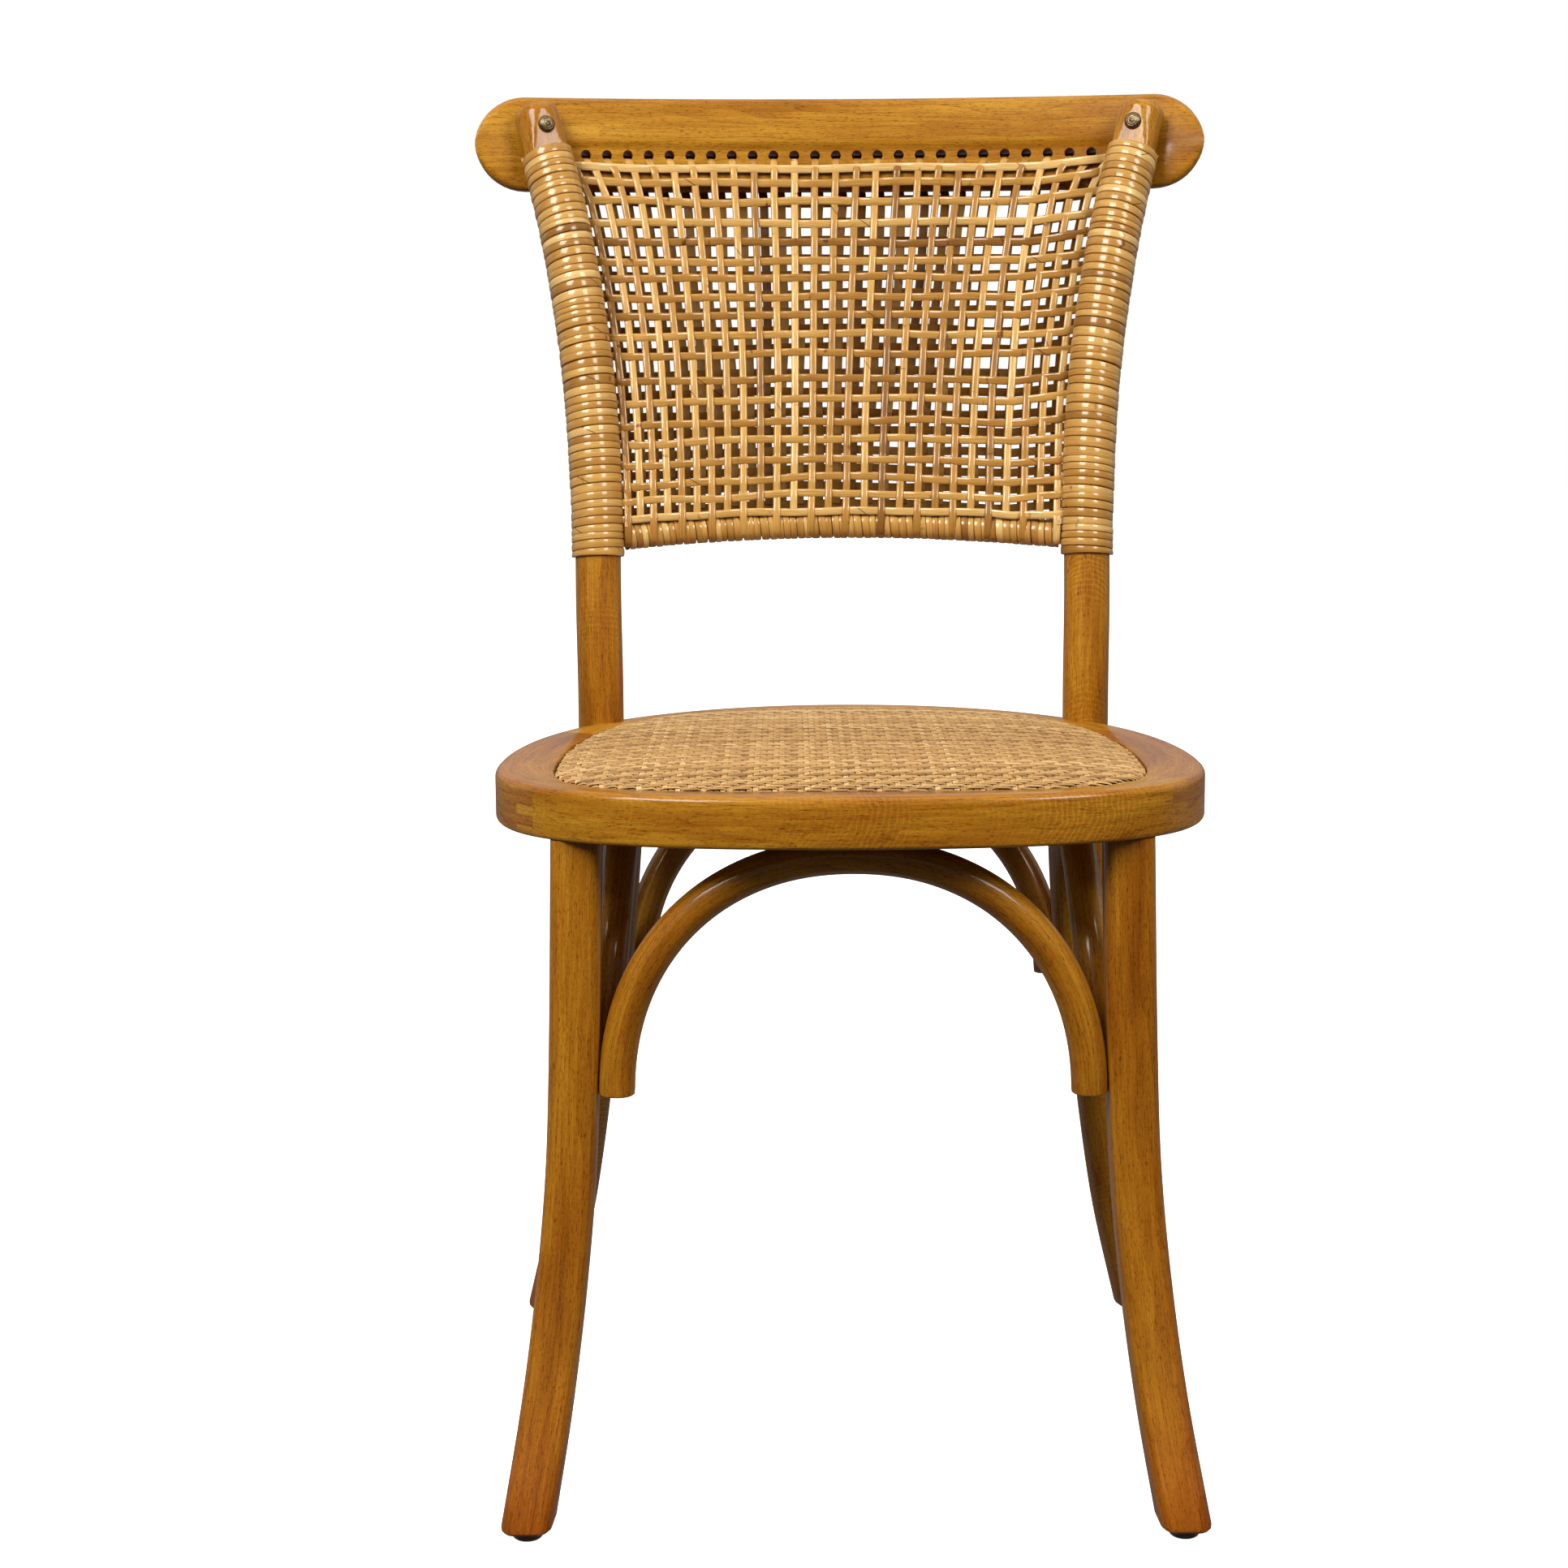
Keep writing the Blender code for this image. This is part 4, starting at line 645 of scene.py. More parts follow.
def add_rear_leg(name, hand, seed):
    path = rear_leg_path(hand)
    top = at_height(path, BACK_TOP - TOP_DOME)
    body = [point for point in path if FOOT_HEIGHT + 0.013 < point.z < top.z - 0.002]
    rise = (top - body[-1]).normalized()
    line = [at_height(path, z) for z in FOOT_LEVELS] + body + [top]
    line += [top + rise * TOP_DOME * height for height, _ in DOME]
    radii = [REAR_LEG_RADIUS - FOOT_BEVEL * inset for inset, _ in FOOT_ROUND]
    radii += [REAR_LEG_RADIUS] * (len(body) + 1) + [REAR_LEG_RADIUS * width for _, width in DOME]
    bm, *layers = new_mesh()
    add_bar(bm, layers, line, X_AXIS, None, seed, foot_tones(line, REAR_TONE),
            [round_section(radius, 40) for radius in radii], FOOT_LEVELS)
    into, seat = crest_screw_direction(hand), crest_screw_seat(hand)
    for vert in bm.verts:
        proud = (seat - vert.co).dot(into)
        if vert.co.z > WINDING_TOP - FACET_START and proud > 0:
            vert.co += into * proud
    finish_piece(name, bm, WOOD, "wood", name.replace("leg_bar", "rear_leg"))


add_rear_leg("left_leg_bar", -1, 1.3)
add_rear_leg("right_leg_bar", 1, 2.1)

# %% [markdown]
# ## Front legs
#
# The front legs are square with well rounded corners, straight at the top and bent out and
# forward at the foot. The round tenon inside the seat ring stays unseen, so only the
# shoulder is made here.

# %% Front legs


def front_leg_path(hand, steps=16):
    points = []
    for height, flare, kick in FRONT_LEG:
        points.append(Vector(((FRONT_LEG_TOP.x + FRONT_FOOT_FLARE * flare) * hand,
                              FRONT_LEG_TOP.y - FRONT_FOOT_KICK * kick, (RING_BOTTOM - GAP) * height)))
    return smooth_path(points, steps)


def soft_square(side, corner, per_corner=7):
    """A square with rounded corners, from the middle of its right side round to it again."""
    reach = (side / 2 - corner) * 2 ** 0.5
    section = []
    for quarter in range(4):
        middle = tau * quarter / 4 + pi / 4
        for k in range(per_corner):
            angle = tau * quarter / 4 + pi / 2 * k / (per_corner - 1)
            section.append((cos(middle) * reach + corner * cos(angle),
                            sin(middle) * reach + corner * sin(angle)))
    return section


def add_front_leg(name, hand, seed):
    path = front_leg_path(hand)
    body = [point for point in path if FOOT_HEIGHT + 0.016 < point.z]
    line = [at_height(path, z) for z in FOOT_LEVELS] + body
    full = soft_square(FRONT_LEG_SIDE, FRONT_LEG_CORNER)
    shapes = [soft_square(FRONT_LEG_SIDE - 2 * FOOT_BEVEL * inset, FRONT_LEG_CORNER - 0.002 * inset)
              for inset, _ in FOOT_ROUND] + [full] * len(body)
    bm, *layers = new_mesh()
    add_bar(bm, layers, line, X_AXIS, None, seed, foot_tones(line, FRONT_TONE), shapes, FOOT_LEVELS)
    for vert in bm.verts:
        vert.co.z = min(vert.co.z, RING_BOTTOM - GAP)
    finish_piece(name, bm, WOOD, "wood", name.replace("_bar", ""))


add_front_leg("left_front_leg_bar", -1, 3.7)
add_front_leg("right_front_leg_bar", 1, 4.4)

# %% [markdown]
# ## Arches
#
# Four thinner rods are bent to arches that brace the legs against the ring. Their shoulders
# are fuller than a half circle, like the long side of a squared oval, and their ends are cut
# square with the edge taken off.

# %% Arches
ARCH_RADIUS, ARCH_ROUNDNESS, ARCH_END_ROUND = 0.01125, 2.15, 0.0022
ARCH_CROWN = RING_BOTTOM - GAP - ARCH_RADIUS
TO_REAR_LEG = ARCH_RADIUS + GAP + REAR_LEG_RADIUS
FRONT_END, REAR_END = 0.261, 0.266
SIDE_FRONT_END, SIDE_REAR_END = 0.255, 0.262
FRONT_END_AHEAD, SIDE_FRONT_INWARD, SIDE_REAR_INWARD = 0.006, 0.0145, 0.0135
SIDE_CROWN_INWARD, REAR_CROWN_BACK = 0.078, 0.036
ARCH_END_ROUNDING = ((0, 0.55), (0.12, 0.74), (0.35, 0.90), (0.7, 0.98))


def arch_path(start, end, crown, steps=96):
    path, foot, half = [], (start + end) / 2, (end - start) / 2
    for i in range(steps + 1):
        angle = pi - pi * i / steps
        across = abs(cos(angle)) ** (2 / ARCH_ROUNDNESS) * (1 if cos(angle) > 0 else -1)
        rise = abs(sin(angle)) ** (2 / ARCH_ROUNDNESS)
        path.append(foot + half * across + (crown - foot) * rise)
    return path


def arch_plan():
    """Start, end and crown of each arch."""
    plan, ends = {}, {"front": [], "rear": [], "left": [], "right": []}
    flat, touch = FRONT_LEG_SIDE / 2 - FRONT_LEG_CORNER, FRONT_LEG_CORNER + GAP + ARCH_RADIUS
    behind = flat + (touch ** 2 - (SIDE_FRONT_INWARD - flat) ** 2) ** 0.5
    ahead = (TO_REAR_LEG ** 2 - SIDE_REAR_INWARD ** 2) ** 0.5
    to_front_leg = FRONT_LEG_SIDE / 2 + GAP + ARCH_RADIUS
    for side, hand in (("left", -1), ("right", 1)):
        front, rear = front_leg_path(hand), rear_leg_path(hand)
        for name, path, height, inward, back in (
                ("front", front, FRONT_END, to_front_leg, -FRONT_END_AHEAD),
                ("rear", rear, REAR_END, TO_REAR_LEG, 0),
                (side, front, SIDE_FRONT_END, SIDE_FRONT_INWARD, behind),
                (side, rear, SIDE_REAR_END, SIDE_REAR_INWARD, -ahead)):
            leg = at_height(path, height)
            ends[name].append(Vector((leg.x - inward * hand, leg.y + back, height)))
    for name, (start, end) in ends.items():
        x = {"left": -1, "right": 1}.get(name, 0) * (HALF_WIDTH - SIDE_CROWN_INWARD)
        y = (start.y + end.y) / 2 + (REAR_CROWN_BACK if name == "rear" else 0)
        plan[name] = (start, end, Vector((x, y, ARCH_CROWN)))
    return plan


def add_arch(name, start, end, crown, seed):
    path = even_points(arch_path(start, end, crown), 90)
    cut = ARCH_END_ROUND / (path[1] - path[0]).length
    head = [path[0].lerp(path[1], share * cut) for share, _ in ARCH_END_ROUNDING]
    tail = [path[-1].lerp(path[-2], share * cut) for share, _ in ARCH_END_ROUNDING]
    ends = [ARCH_RADIUS * width for _, width in ARCH_END_ROUNDING]
    radii = ends + [ARCH_RADIUS] * (len(path) - 2) + ends[::-1]
    normal = (end - start).cross(crown - start).normalized()
    bm, *layers = new_mesh()
    add_bar(bm, layers, head + path[1:-1] + tail[::-1], normal, None, seed, ARCH_TONE,
            [round_section(radius, 28) for radius in radii])
    finish_piece(name + "_arch_bar", bm, WOOD, "wood", name + "_arch")


for k, (arch, (start, end, crown)) in enumerate(arch_plan().items()):
    add_arch(arch, start, end, crown, 5.2 + k * 0.9)

# %% [markdown]
# ## Seat ring
#
# The ring is made of four bent rails, glued in finger joints. One section runs round the seat:
# a broad flat top, eased edges and a rabbet that holds the seat. A comb of thin blocks cuts
# each joint, so the rails interlock, and the grain attribute follows the ring.

# %% Outlines of the ring and of the seat panel
STATIONS, OUTLINE_STEPS = 256, 512
FINGER_LAYERS, FINGER_LENGTH = 5, 0.018
TOP_ROUND, BOTTOM_ROUND, RABBET_ROUND = 0.0045, 0.003, 0.0014
RABBET_EASE, RABBET_EASE_DEPTH = 0.0004, 0.0012


def outline_point(shares, half_width, front, rear, where):
    """A point of an outline. Where runs from 0 at the front middle over the right to 1 at the rear
    middle, and over the left on to 2."""
    half = where if where <= 1 else 2 - where
    hand = 1 if where <= 1 else -1
    quarter = 0 if half <= 0.5 else 3
    share = 2 * half if half <= 0.5 else 2 * half - 1
    knots = shares[quarter:quarter + 4]
    weights = ((1 - share) ** 3, 3 * (1 - share) ** 2 * share, 3 * (1 - share) * share ** 2, share ** 3)
    x = sum(w * knot[0] for w, knot in zip(weights, knots)) * half_width
    y = sum(w * knot[1] for w, knot in zip(weights, knots)) * (rear - front) + front
    return Vector((x * hand, y, 0))


def ring_edge(where):
    return outline_point(RING_OUTLINE, HALF_WIDTH, 0, SEAT_DEPTH, where % 2)


def pad_edge(where, inset=0.0):
    return outline_point(PAD_OUTLINE, HALF_WIDTH - SIDE_RIM - inset, FRONT_RIM + inset,
                         SEAT_DEPTH - REAR_RIM - inset, where % 2)


def rounded_corner(corner, one, other, radius, steps=5):
    """Points of an arc from the side of one direction to the side of the other."""
    centre = corner + (one + other) * radius
    return [centre - (other * cos(pi / 2 * k / steps) + one * sin(pi / 2 * k / steps)) * radius
            for k in range(steps + 1)]


def ring_section(where):
    outer, pad, inner = ring_edge(where), pad_edge(where), pad_edge(where, LEDGE_WIDTH)
    inward, outward_low = (pad - outer).normalized(), (outer - inner).normalized()
    up = Z_AXIS
    top, low, ledge = up * SEAT_HEIGHT, up * RING_BOTTOM, up * (SEAT_HEIGHT - RABBET_DEPTH)
    points = [pad + top - up * RABBET_EASE_DEPTH, pad - inward * RABBET_EASE + top - up * RABBET_EASE]
    points.append(pad - inward * RABBET_ROUND + top)
    points += rounded_corner(outer + top, inward, -up, TOP_ROUND)
    points += rounded_corner(outer + low, up, inward, BOTTOM_ROUND)
    points += rounded_corner(inner + low, outward_low, up, BOTTOM_ROUND, 3)
    return points + [inner + ledge, pad + ledge]


print("ring section has", len(ring_section(0)), "points")

# %% Rails of the ring
RAIL_SPARE = 0.13
BLOCK_LENGTH, BLOCK_OUTSIDE, BLOCK_WIDTH, BLOCK_MARGIN = 0.16, 0.14, 0.18, 0.004


def comb_block(where, direction, outer_fingers):
    """A comb-shaped block past the end of a rail, its teeth between the rail's fingers."""
    origin, step = ring_edge(where), 2 / STATIONS
    tangent = (ring_edge(where + step) - ring_edge(where - step)).normalized() * direction
    across = tangent.cross(Z_AXIS) * direction
    layer_height = RING_THICKNESS / FINGER_LAYERS
    bottom = RING_BOTTOM - BLOCK_MARGIN
    outline = [(BLOCK_LENGTH, bottom)]
    for layer in range(FINGER_LAYERS):
        is_finger = (layer % 2 == 0) == outer_fingers
        reach = FINGER_LENGTH / 2 if is_finger else -FINGER_LENGTH / 2 - GAP / 3
        top = RING_BOTTOM + (layer + 1) * layer_height
        if not outer_fingers:
            top += (-1 if is_finger else 1) * GAP / 3
        if layer == FINGER_LAYERS - 1:
            top = SEAT_HEIGHT + BLOCK_MARGIN
        outline += [(reach, bottom), (reach, top)]
        bottom = top
    outline.append((BLOCK_LENGTH, bottom))
    bm = bmesh.new()
    near = origin - across * BLOCK_OUTSIDE
    rim = [bm.verts.new(near + tangent * u + Z_AXIS * z) for u, z in outline]
    edges = [bm.edges.new(pair) for pair in zip(rim, rim[1:] + rim[:1])]
    face = bmesh.ops.edgeloop_fill(bm, edges=edges)["faces"]
    side = bmesh.ops.extrude_face_region(bm, geom=face)["geom"]
    moved = [v for v in side if isinstance(v, bmesh.types.BMVert)]
    bmesh.ops.translate(bm, verts=moved, vec=across * BLOCK_WIDTH)
    to_frame(bm)
    return bm


def carve(piece, blocks):
    """Take blocks away from a piece with exact Booleans, and keep the result as its mesh."""
    cutters = []
    for bm in blocks:
        cutter = new_object("block", bm)
        boolean = piece.modifiers.new("carve", "BOOLEAN")
        boolean.operation, boolean.solver, boolean.object = "DIFFERENCE", "EXACT", cutter
        cutters.append(cutter)
    depsgraph = bpy.context.evaluated_depsgraph_get()
    carved = bpy.data.meshes.new_from_object(piece.evaluated_get(depsgraph))
    piece.modifiers.clear()
    piece.data = carved
    for cutter in cutters:
        bpy.data.objects.remove(cutter)


def set_grain(mesh, place_of, seed, tone):
    """Write the grain of a carved mesh from the places of its vertices."""
    for layer, kind in (("grain", "FLOAT_VECTOR"), ("tone", "FLOAT")):
        if layer in mesh.attributes:
            mesh.attributes.remove(mesh.attributes[layer])
        mesh.attributes.new(layer, kind, "POINT")
    grain, shade = mesh.attributes["grain"], mesh.attributes["tone"]
    for i, vert in enumerate(mesh.vertices):
        u, v, along = place_of(vert.co)
        grain.data[i].vector = (u + seed * 0.017, v + seed * 0.011, along + seed * 0.61)
        shade.data[i].value = tone


def turn_of(x, y, middle):
    """The angle at which a place is seen from a middle: 0 in front, then round over the right."""
    return atan2(x, middle.y - y) % tau


def step_at(angles, angle):
    """The step of a round outline that an angle falls in, and the share of the step before it."""
    low = max(0, min(bisect(angles, angle) - 1, len(angles) - 2))
    return low, (angle - angles[low]) / max(angles[low + 1] - angles[low], 1e-9)


RING_MIDDLE = Vector((0, SEAT_DEPTH / 2, 0))
RING_LINE = [ring_edge(2 * i / OUTLINE_STEPS) for i in range(OUTLINE_STEPS + 1)]
RING_MARKS = lengths_of(RING_LINE)
RING_ANGLES = [turn_of(p.x, p.y, RING_MIDDLE) for p in RING_LINE[:-1]] + [tau]


def ring_place(point, both_ways):
    """Where a point of the ring lies: inward from the edge, up, and along the ring. Both ways
    counts the left half backwards, so that nothing jumps at the front middle."""
    flat = Vector((point.x, point.y - RING_FRONT, 0))
    low, share = step_at(RING_ANGLES, turn_of(flat.x, flat.y, RING_MIDDLE))
    along = RING_MARKS[low] + (RING_MARKS[low + 1] - RING_MARKS[low]) * share
    edge = ring_edge(2 * (low + share) / OUTLINE_STEPS)
    if both_ways and along > RING_MARKS[-1] / 2:
        along -= RING_MARKS[-1]
    return (edge - flat).length, point.z - SEAT_HEIGHT, along


def add_rail(name, first, last, outer_fingers, seed, tone):
    """One rail between the joints at two shares of the way round. It is made with some wood to
    spare at its ends, which the combs take off."""
    length = last - first + 2 * RAIL_SPARE
    count = round(length * STATIONS / 2)
    bm, *layers = new_mesh()
    roll(bm, layers, [ring_section(first - RAIL_SPARE + length * i / count) for i in range(count + 1)])
    to_frame(bm)
    rail = new_object(name, bm)
    carve(rail, [comb_block(first, -1, outer_fingers), comb_block(last, 1, outer_fingers)])
    set_grain(rail.data, lambda point: ring_place(point, first < 0), seed, tone)
    hand_over(rail, WOOD, "wood", name.replace("ring", "seat_rail"))


FRONT_JOINT, REAR_JOINT = 10 / 32, 21 / 32
CROSS_RAIL_TONE, SIDE_RAIL_TONE = 0.57, 0.40
add_rail("ring_front", -FRONT_JOINT, FRONT_JOINT, True, 0.4, CROSS_RAIL_TONE)
add_rail("ring_right", FRONT_JOINT, REAR_JOINT, False, 1.1, SIDE_RAIL_TONE)
add_rail("ring_rear", REAR_JOINT, 2 - REAR_JOINT, True, 2.6, CROSS_RAIL_TONE)
add_rail("ring_left", 2 - REAR_JOINT, 2 - FRONT_JOINT, False, 3.3, SIDE_RAIL_TONE)

# %% [markdown]
# ## Seat panel
#
# The seat is a mat of flat cane strips in a twill, over three and under one, drawn over a padded
# board, so that it stands a little proud in the middle and tucks into the ring at its edge.
# Under the weave lies a dark backing. The weave is two sets of strips that cross. Each strip is a
# low four sided bar that rises and falls by about its own thickness.

# %% Backing under the weave
PAD_STEPS = 256
PAD_MIDDLE = (pad_edge(0) + pad_edge(1)) / 2
PAD_RIM = [pad_edge(2 * i / PAD_STEPS, GAP) for i in range(PAD_STEPS + 1)]
PAD_ANGLES = [turn_of(p.x, p.y, PAD_MIDDLE) for p in PAD_RIM[:-1]] + [tau]
PAD_REACHES = [(p - PAD_MIDDLE).length for p in PAD_RIM]
WEAVE_DEPTH = 0.0012
TUCK_START, TUCK_DEPTH = 0.972, 0.0022
BACKING_SHARES = (1.0, 0.985, 0.965, 0.93, 0.88, 0.8, 0.7, 0.58, 0.45, 0.3, 0.15)


def edge_share(x, y):
    """How far a place lies from the middle of the panel, 1 at its edge."""
    low, share = step_at(PAD_ANGLES, turn_of(x, y, PAD_MIDDLE))
    reach = PAD_REACHES[low] + (PAD_REACHES[low + 1] - PAD_REACHES[low]) * share
    return hypot(x, y - PAD_MIDDLE.y) / reach


def panel_height(share):
    """The crown of the panel, with its edge drawn down into the ring."""
    tuck = max(0.0, (share - TUCK_START) / (1 - TUCK_START))
    return SEAT_HEIGHT + PANEL_CROWN * (1 - share ** 4) - TUCK_DEPTH * tuck ** 2


def add_backing():
    base = SEAT_HEIGHT - RABBET_DEPTH + BOARD_THICKNESS + 2 * GAP
    rim = PAD_RIM[:-1]
    rings = [[point + Z_AXIS * base for point in rim]]
    for share in BACKING_SHARES:
        height = panel_height(share) - WEAVE_DEPTH
        rings.append([PAD_MIDDLE.lerp(point, share) + Z_AXIS * height for point in rim])
    bm, *layers = new_mesh()
    roll(bm, layers, rings)
    pad = finish_piece("seat_pad", bm, BACKING, "seat_cane", "seat_cane_panel")


add_backing()

# %% Woven strips of the seat
WARP_PITCH, WEFT_PITCH, STRIP_SHARE = 0.0039, 0.0043, 0.88
STRIP_THICKNESS, STRIP_RISE, STRIP_DRIFT = 0.0006, 0.00064, 0.00045
STRIP_BED, STRIP_TOP_SHARE, STRIPS_END = 0.0004, 0.84, 0.998
STRIP_WIDTH_SPREAD, STRIP_TONE_SPREAD = 0.06, 0.7


def wobble(*place):
    """A smooth uneven value about zero, always the same at the same place."""
    return noise.noise(Vector(place))


def over_share(along_x, strip, crossing):
    """1 where a strip lies on top and -1 where it dives. Each weft strip goes over three warp
    strips and under one, a strip further on in the next row."""
    dives = (crossing - strip if along_x else strip - crossing) % 4 == 0
    return -1 if dives == along_x else 1


def add_strip(bm, layers, path, side, section, seed, tone, fuller=(), hidden=0):
    """A strip or strand. The first two points of its section are its flat underside, painted darker
    partly as pith and partly as shade. Fuller gives some stations a wider and thicker section, and
    the last few may be hidden in a hole, where they are painted dark as shade."""
    rings, grains = [], []
    marks = lengths_of(path)
    for i, (point, tangent, first, second) in enumerate(frames(path, side)):
        wide, thick = fuller[i] if i in fuller else (1, 1)
        rings.append([point + first * u * wide + second * v * thick for u, v in section])
        grains.append([(u, v + seed * 0.013, marks[i] + seed * 0.37) for u, v in section])
    roll(bm, layers, rings, grains, [tone] * len(rings), 2, hidden)


def add_strips(name, along_x, shift):
    """All strips of one direction, counted from the middle of the chair."""
    bm, *layers = new_mesh()
    half_x, half_y = HALF_WIDTH - SIDE_RIM, (SEAT_DEPTH - FRONT_RIM - REAR_RIM) / 2
    span, reach = (half_y, half_x) if along_x else (half_x, half_y)
    own, other = (WEFT_PITCH, WARP_PITCH) if along_x else (WARP_PITCH, WEFT_PITCH)
    middle_y = (FRONT_RIM + SEAT_DEPTH - REAR_RIM) / 2
    count, steps = int(span / own), int(reach / other * 2)
    for i in range(-count, count + 1):
        path = []
        for k in range(-steps, steps + 1):
            drift = STRIP_DRIFT * wobble(i * 3.1 + shift, k * 0.11, 4)
            fixed, moving = i * own + drift, k * other / 2
            x, y = (moving, fixed + middle_y) if along_x else (fixed, moving + middle_y)
            share = edge_share(x, y)
            if share < STRIPS_END:
                over = (over_share(along_x, i, k // 2) + over_share(along_x, i, (k + 1) // 2)) / 2
                height = panel_height(share) - STRIP_RISE - STRIP_BED + STRIP_RISE * over
                path.append(Vector((x, y, height)))
        if len(path) < 4:
            continue
        half = own * STRIP_SHARE * (0.5 + STRIP_WIDTH_SPREAD * wobble(i * 5.3, shift, 9))
        tone = 0.5 + STRIP_TONE_SPREAD * wobble(i * 7.7, shift * 3.3, 2.5)
        up = STRIP_THICKNESS if along_x else -STRIP_THICKNESS
        section = [(-half, 0), (half, 0), (half * STRIP_TOP_SHARE, up), (-half * STRIP_TOP_SHARE, up)]
        add_strip(bm, layers, path, Y_AXIS if along_x else X_AXIS, section, i + shift, tone)
    finish_piece(name, bm, SEAT_CANE, "seat_cane", smooth=30.0)


add_strips("seat_weft", True, 0.0)
add_strips("seat_warp", False, 50.0)

# %% [markdown]
# ## Crest rail
#
# The crest rail is a plank bent to a shallow arc and leaning back, with round ends. Its lower
# half is cut back a little in front, where the cane lies, and a row of holes takes the strands.
# It is a grid rolled through sections from end to end. The grooves for the posts, and the holes,
# which are drilled square to the leaning face, are carved afterwards.

# %% Shape of the crest rail
CREST_EDGE, CREST_END_EDGE, CREST_GROOVE = 0.005, 0.0035, 0.0024
BAND_STEP, BAND_SHARE, BAND_END, BAND_FADE = 0.003, -0.06, 0.026, 0.018
HOLE_DRIFT = -0.002
HOLES, HOLE_RADIUS, HOLE_SPACING, HOLE_DROP = 27, 0.00375, 0.01542, 0.0075
MIDDLE_HOLE = (HOLES - 1) / 2
WRAP_RADIUS = REAR_LEG_RADIUS + 0.0030
CREST_HALF_LENGTH = CREST_POST.x + 0.0500


def crest_centre(x, z):
    """Depth of the middle of the crest rail at a place across and a height."""
    middle = CREST_POST.y + REAR_LEG_RADIUS + CREST_THICKNESS / 2 - CREST_GROOVE
    bend = (CREST_POST.x ** 2 - x ** 2) / (2 * CREST_BEND_RADIUS)
    return middle + bend + (z - CREST_Z) * sin(CREST_TILT) / cos(CREST_TILT)


def crest_section(x, half_height):
    """The section at a place across: a cove down to the lower band, then four rounded edges. The
    band fades out towards the ends, and the edges grow rounder there."""
    radius, half = CREST_HEIGHT / 2, CREST_THICKNESS / 2
    at_end = max(0.0, abs(x) - CREST_HALF_LENGTH + radius) / radius
    edge = min(CREST_EDGE + CREST_END_EDGE * min(1.0, 2 * at_end), half_height / 2)
    spread = BAND_STEP * half_height / radius
    back = spread * min(1.0, max(0.0, (CREST_HALF_LENGTH - BAND_END - abs(x)) / BAND_FADE))
    step, low = half_height * BAND_SHARE, edge - half_height
    points = []
    for k in range(7):
        cove = (1 + cos(pi * k / 6)) / 2
        points.append((-half + back * cove, step + spread * (k / 2 - 1)))
    for (cu, cv), turn in (((-half + edge, -low), pi), ((half - edge, -low), pi / 2),
                           ((half - edge, low), 0), ((back - half + edge, low), -pi / 2)):
        for k in range(6):
            angle = turn - pi / 2 * k / 5
            points.append((cu + edge * cos(angle), cv + edge * sin(angle)))
    return [Vector((x, crest_centre(x, CREST_Z + height) + depth, CREST_Z + height))
            for depth, height in points]


def hole_mouth(i):
    """Middle of a hole where it meets the lower band. The row runs slightly to the left."""
    share = (i - MIDDLE_HOLE) / MIDDLE_HOLE
    x = (i - MIDDLE_HOLE) * HOLE_SPACING + HOLE_DRIFT * (1 - share ** 2)
    z = CREST_Z - HOLE_DROP
    return Vector((x, crest_centre(x, z) - CREST_THICKNESS / 2 + BAND_STEP, z))


# %% Crest rail
CREST_TURNS = (86, 80, 73, 66, 58, 50, 42, 34, 26, 18, 9)
CREST_TONE, CREST_SEED = 0.76, 2.3


def hole_block(i):
    """A cutter: a round rod through the crest rail, square to its face."""
    mouth = hole_mouth(i)
    reach = into_crest(mouth.x) * CREST_THICKNESS
    bm, *layers = new_mesh()
    add_bar(bm, layers, [mouth - reach, mouth + 2 * reach], Z_AXIS, round_section(HOLE_RADIUS, 24))
    bmesh.ops.recalc_face_normals(bm, faces=bm.faces)
    return bm


def leg_block(hand, top_z, radius, domed=False):
    """A cutter along a post, up to a height, and domed above it like the post's end."""
    path = rear_leg_path(hand)
    rise = (path[-1] - path[-2]).normalized()
    line = [p for p in path if WINDING_TOP - 0.08 < p.z < top_z - 0.001]
    top = at_height(path, top_z)
    radii = [radius] * (len(line) + 1)
    line.append(top)
    if domed:
        line += [top + rise * (TOP_DOME * height + GAP) for height, _ in DOME]
        radii += [radius * width for _, width in DOME]
    bm, *layers = new_mesh()
    add_bar(bm, layers, line, X_AXIS, None, shapes=[round_section(r, 40) for r in radii])
    bmesh.ops.recalc_face_normals(bm, faces=bm.faces)
    return bm


def add_crest():
    radius = CREST_HEIGHT / 2
    straight = CREST_HALF_LENGTH - radius
    round_end = [(-straight - radius * sin(radians(a)), radius * cos(radians(a))) for a in CREST_TURNS]
    stations = round_end + [(straight * (i / 40 - 1), radius) for i in range(81)]
    stations += [(-x, half) for x, half in round_end[::-1]]
    bm, *layers = new_mesh()
    roll(bm, layers, [crest_section(x, half) for x, half in stations])
    bmesh.ops.recalc_face_normals(bm, faces=bm.faces)
    crest = new_object("crest_plank", bm)
    blocks = [hole_block(i) for i in range(HOLES)]
    for hand in (-1, 1):
        blocks.append(leg_block(hand, BACK_TOP - TOP_DOME, REAR_LEG_RADIUS + GAP, True))
        blocks.append(leg_block(hand, WINDING_TOP + GAP, WRAP_RADIUS + GAP))
    carve(crest, blocks)
    crest.data.transform(Matrix.Translation((0, RING_FRONT, 0)))
    set_grain(crest.data, lambda p: (p.y - RING_FRONT - crest_centre(p.x, p.z), p.z - CREST_Z, p.x),
              CREST_SEED, CREST_TONE)
    hand_over(crest, WOOD, "wood", "crest_rail")


add_crest()

# %% [markdown]
# ## Wrapped posts and bottom rail
#
# Flat strands of split cane are wound tightly round the posts and round the bowed bottom rail.
# A wrap is a bar whose path is a helix round the rod: half round outside, flat inside. The path
# is worked out from the rod's own path, so the wraps stay square to it where it leans.

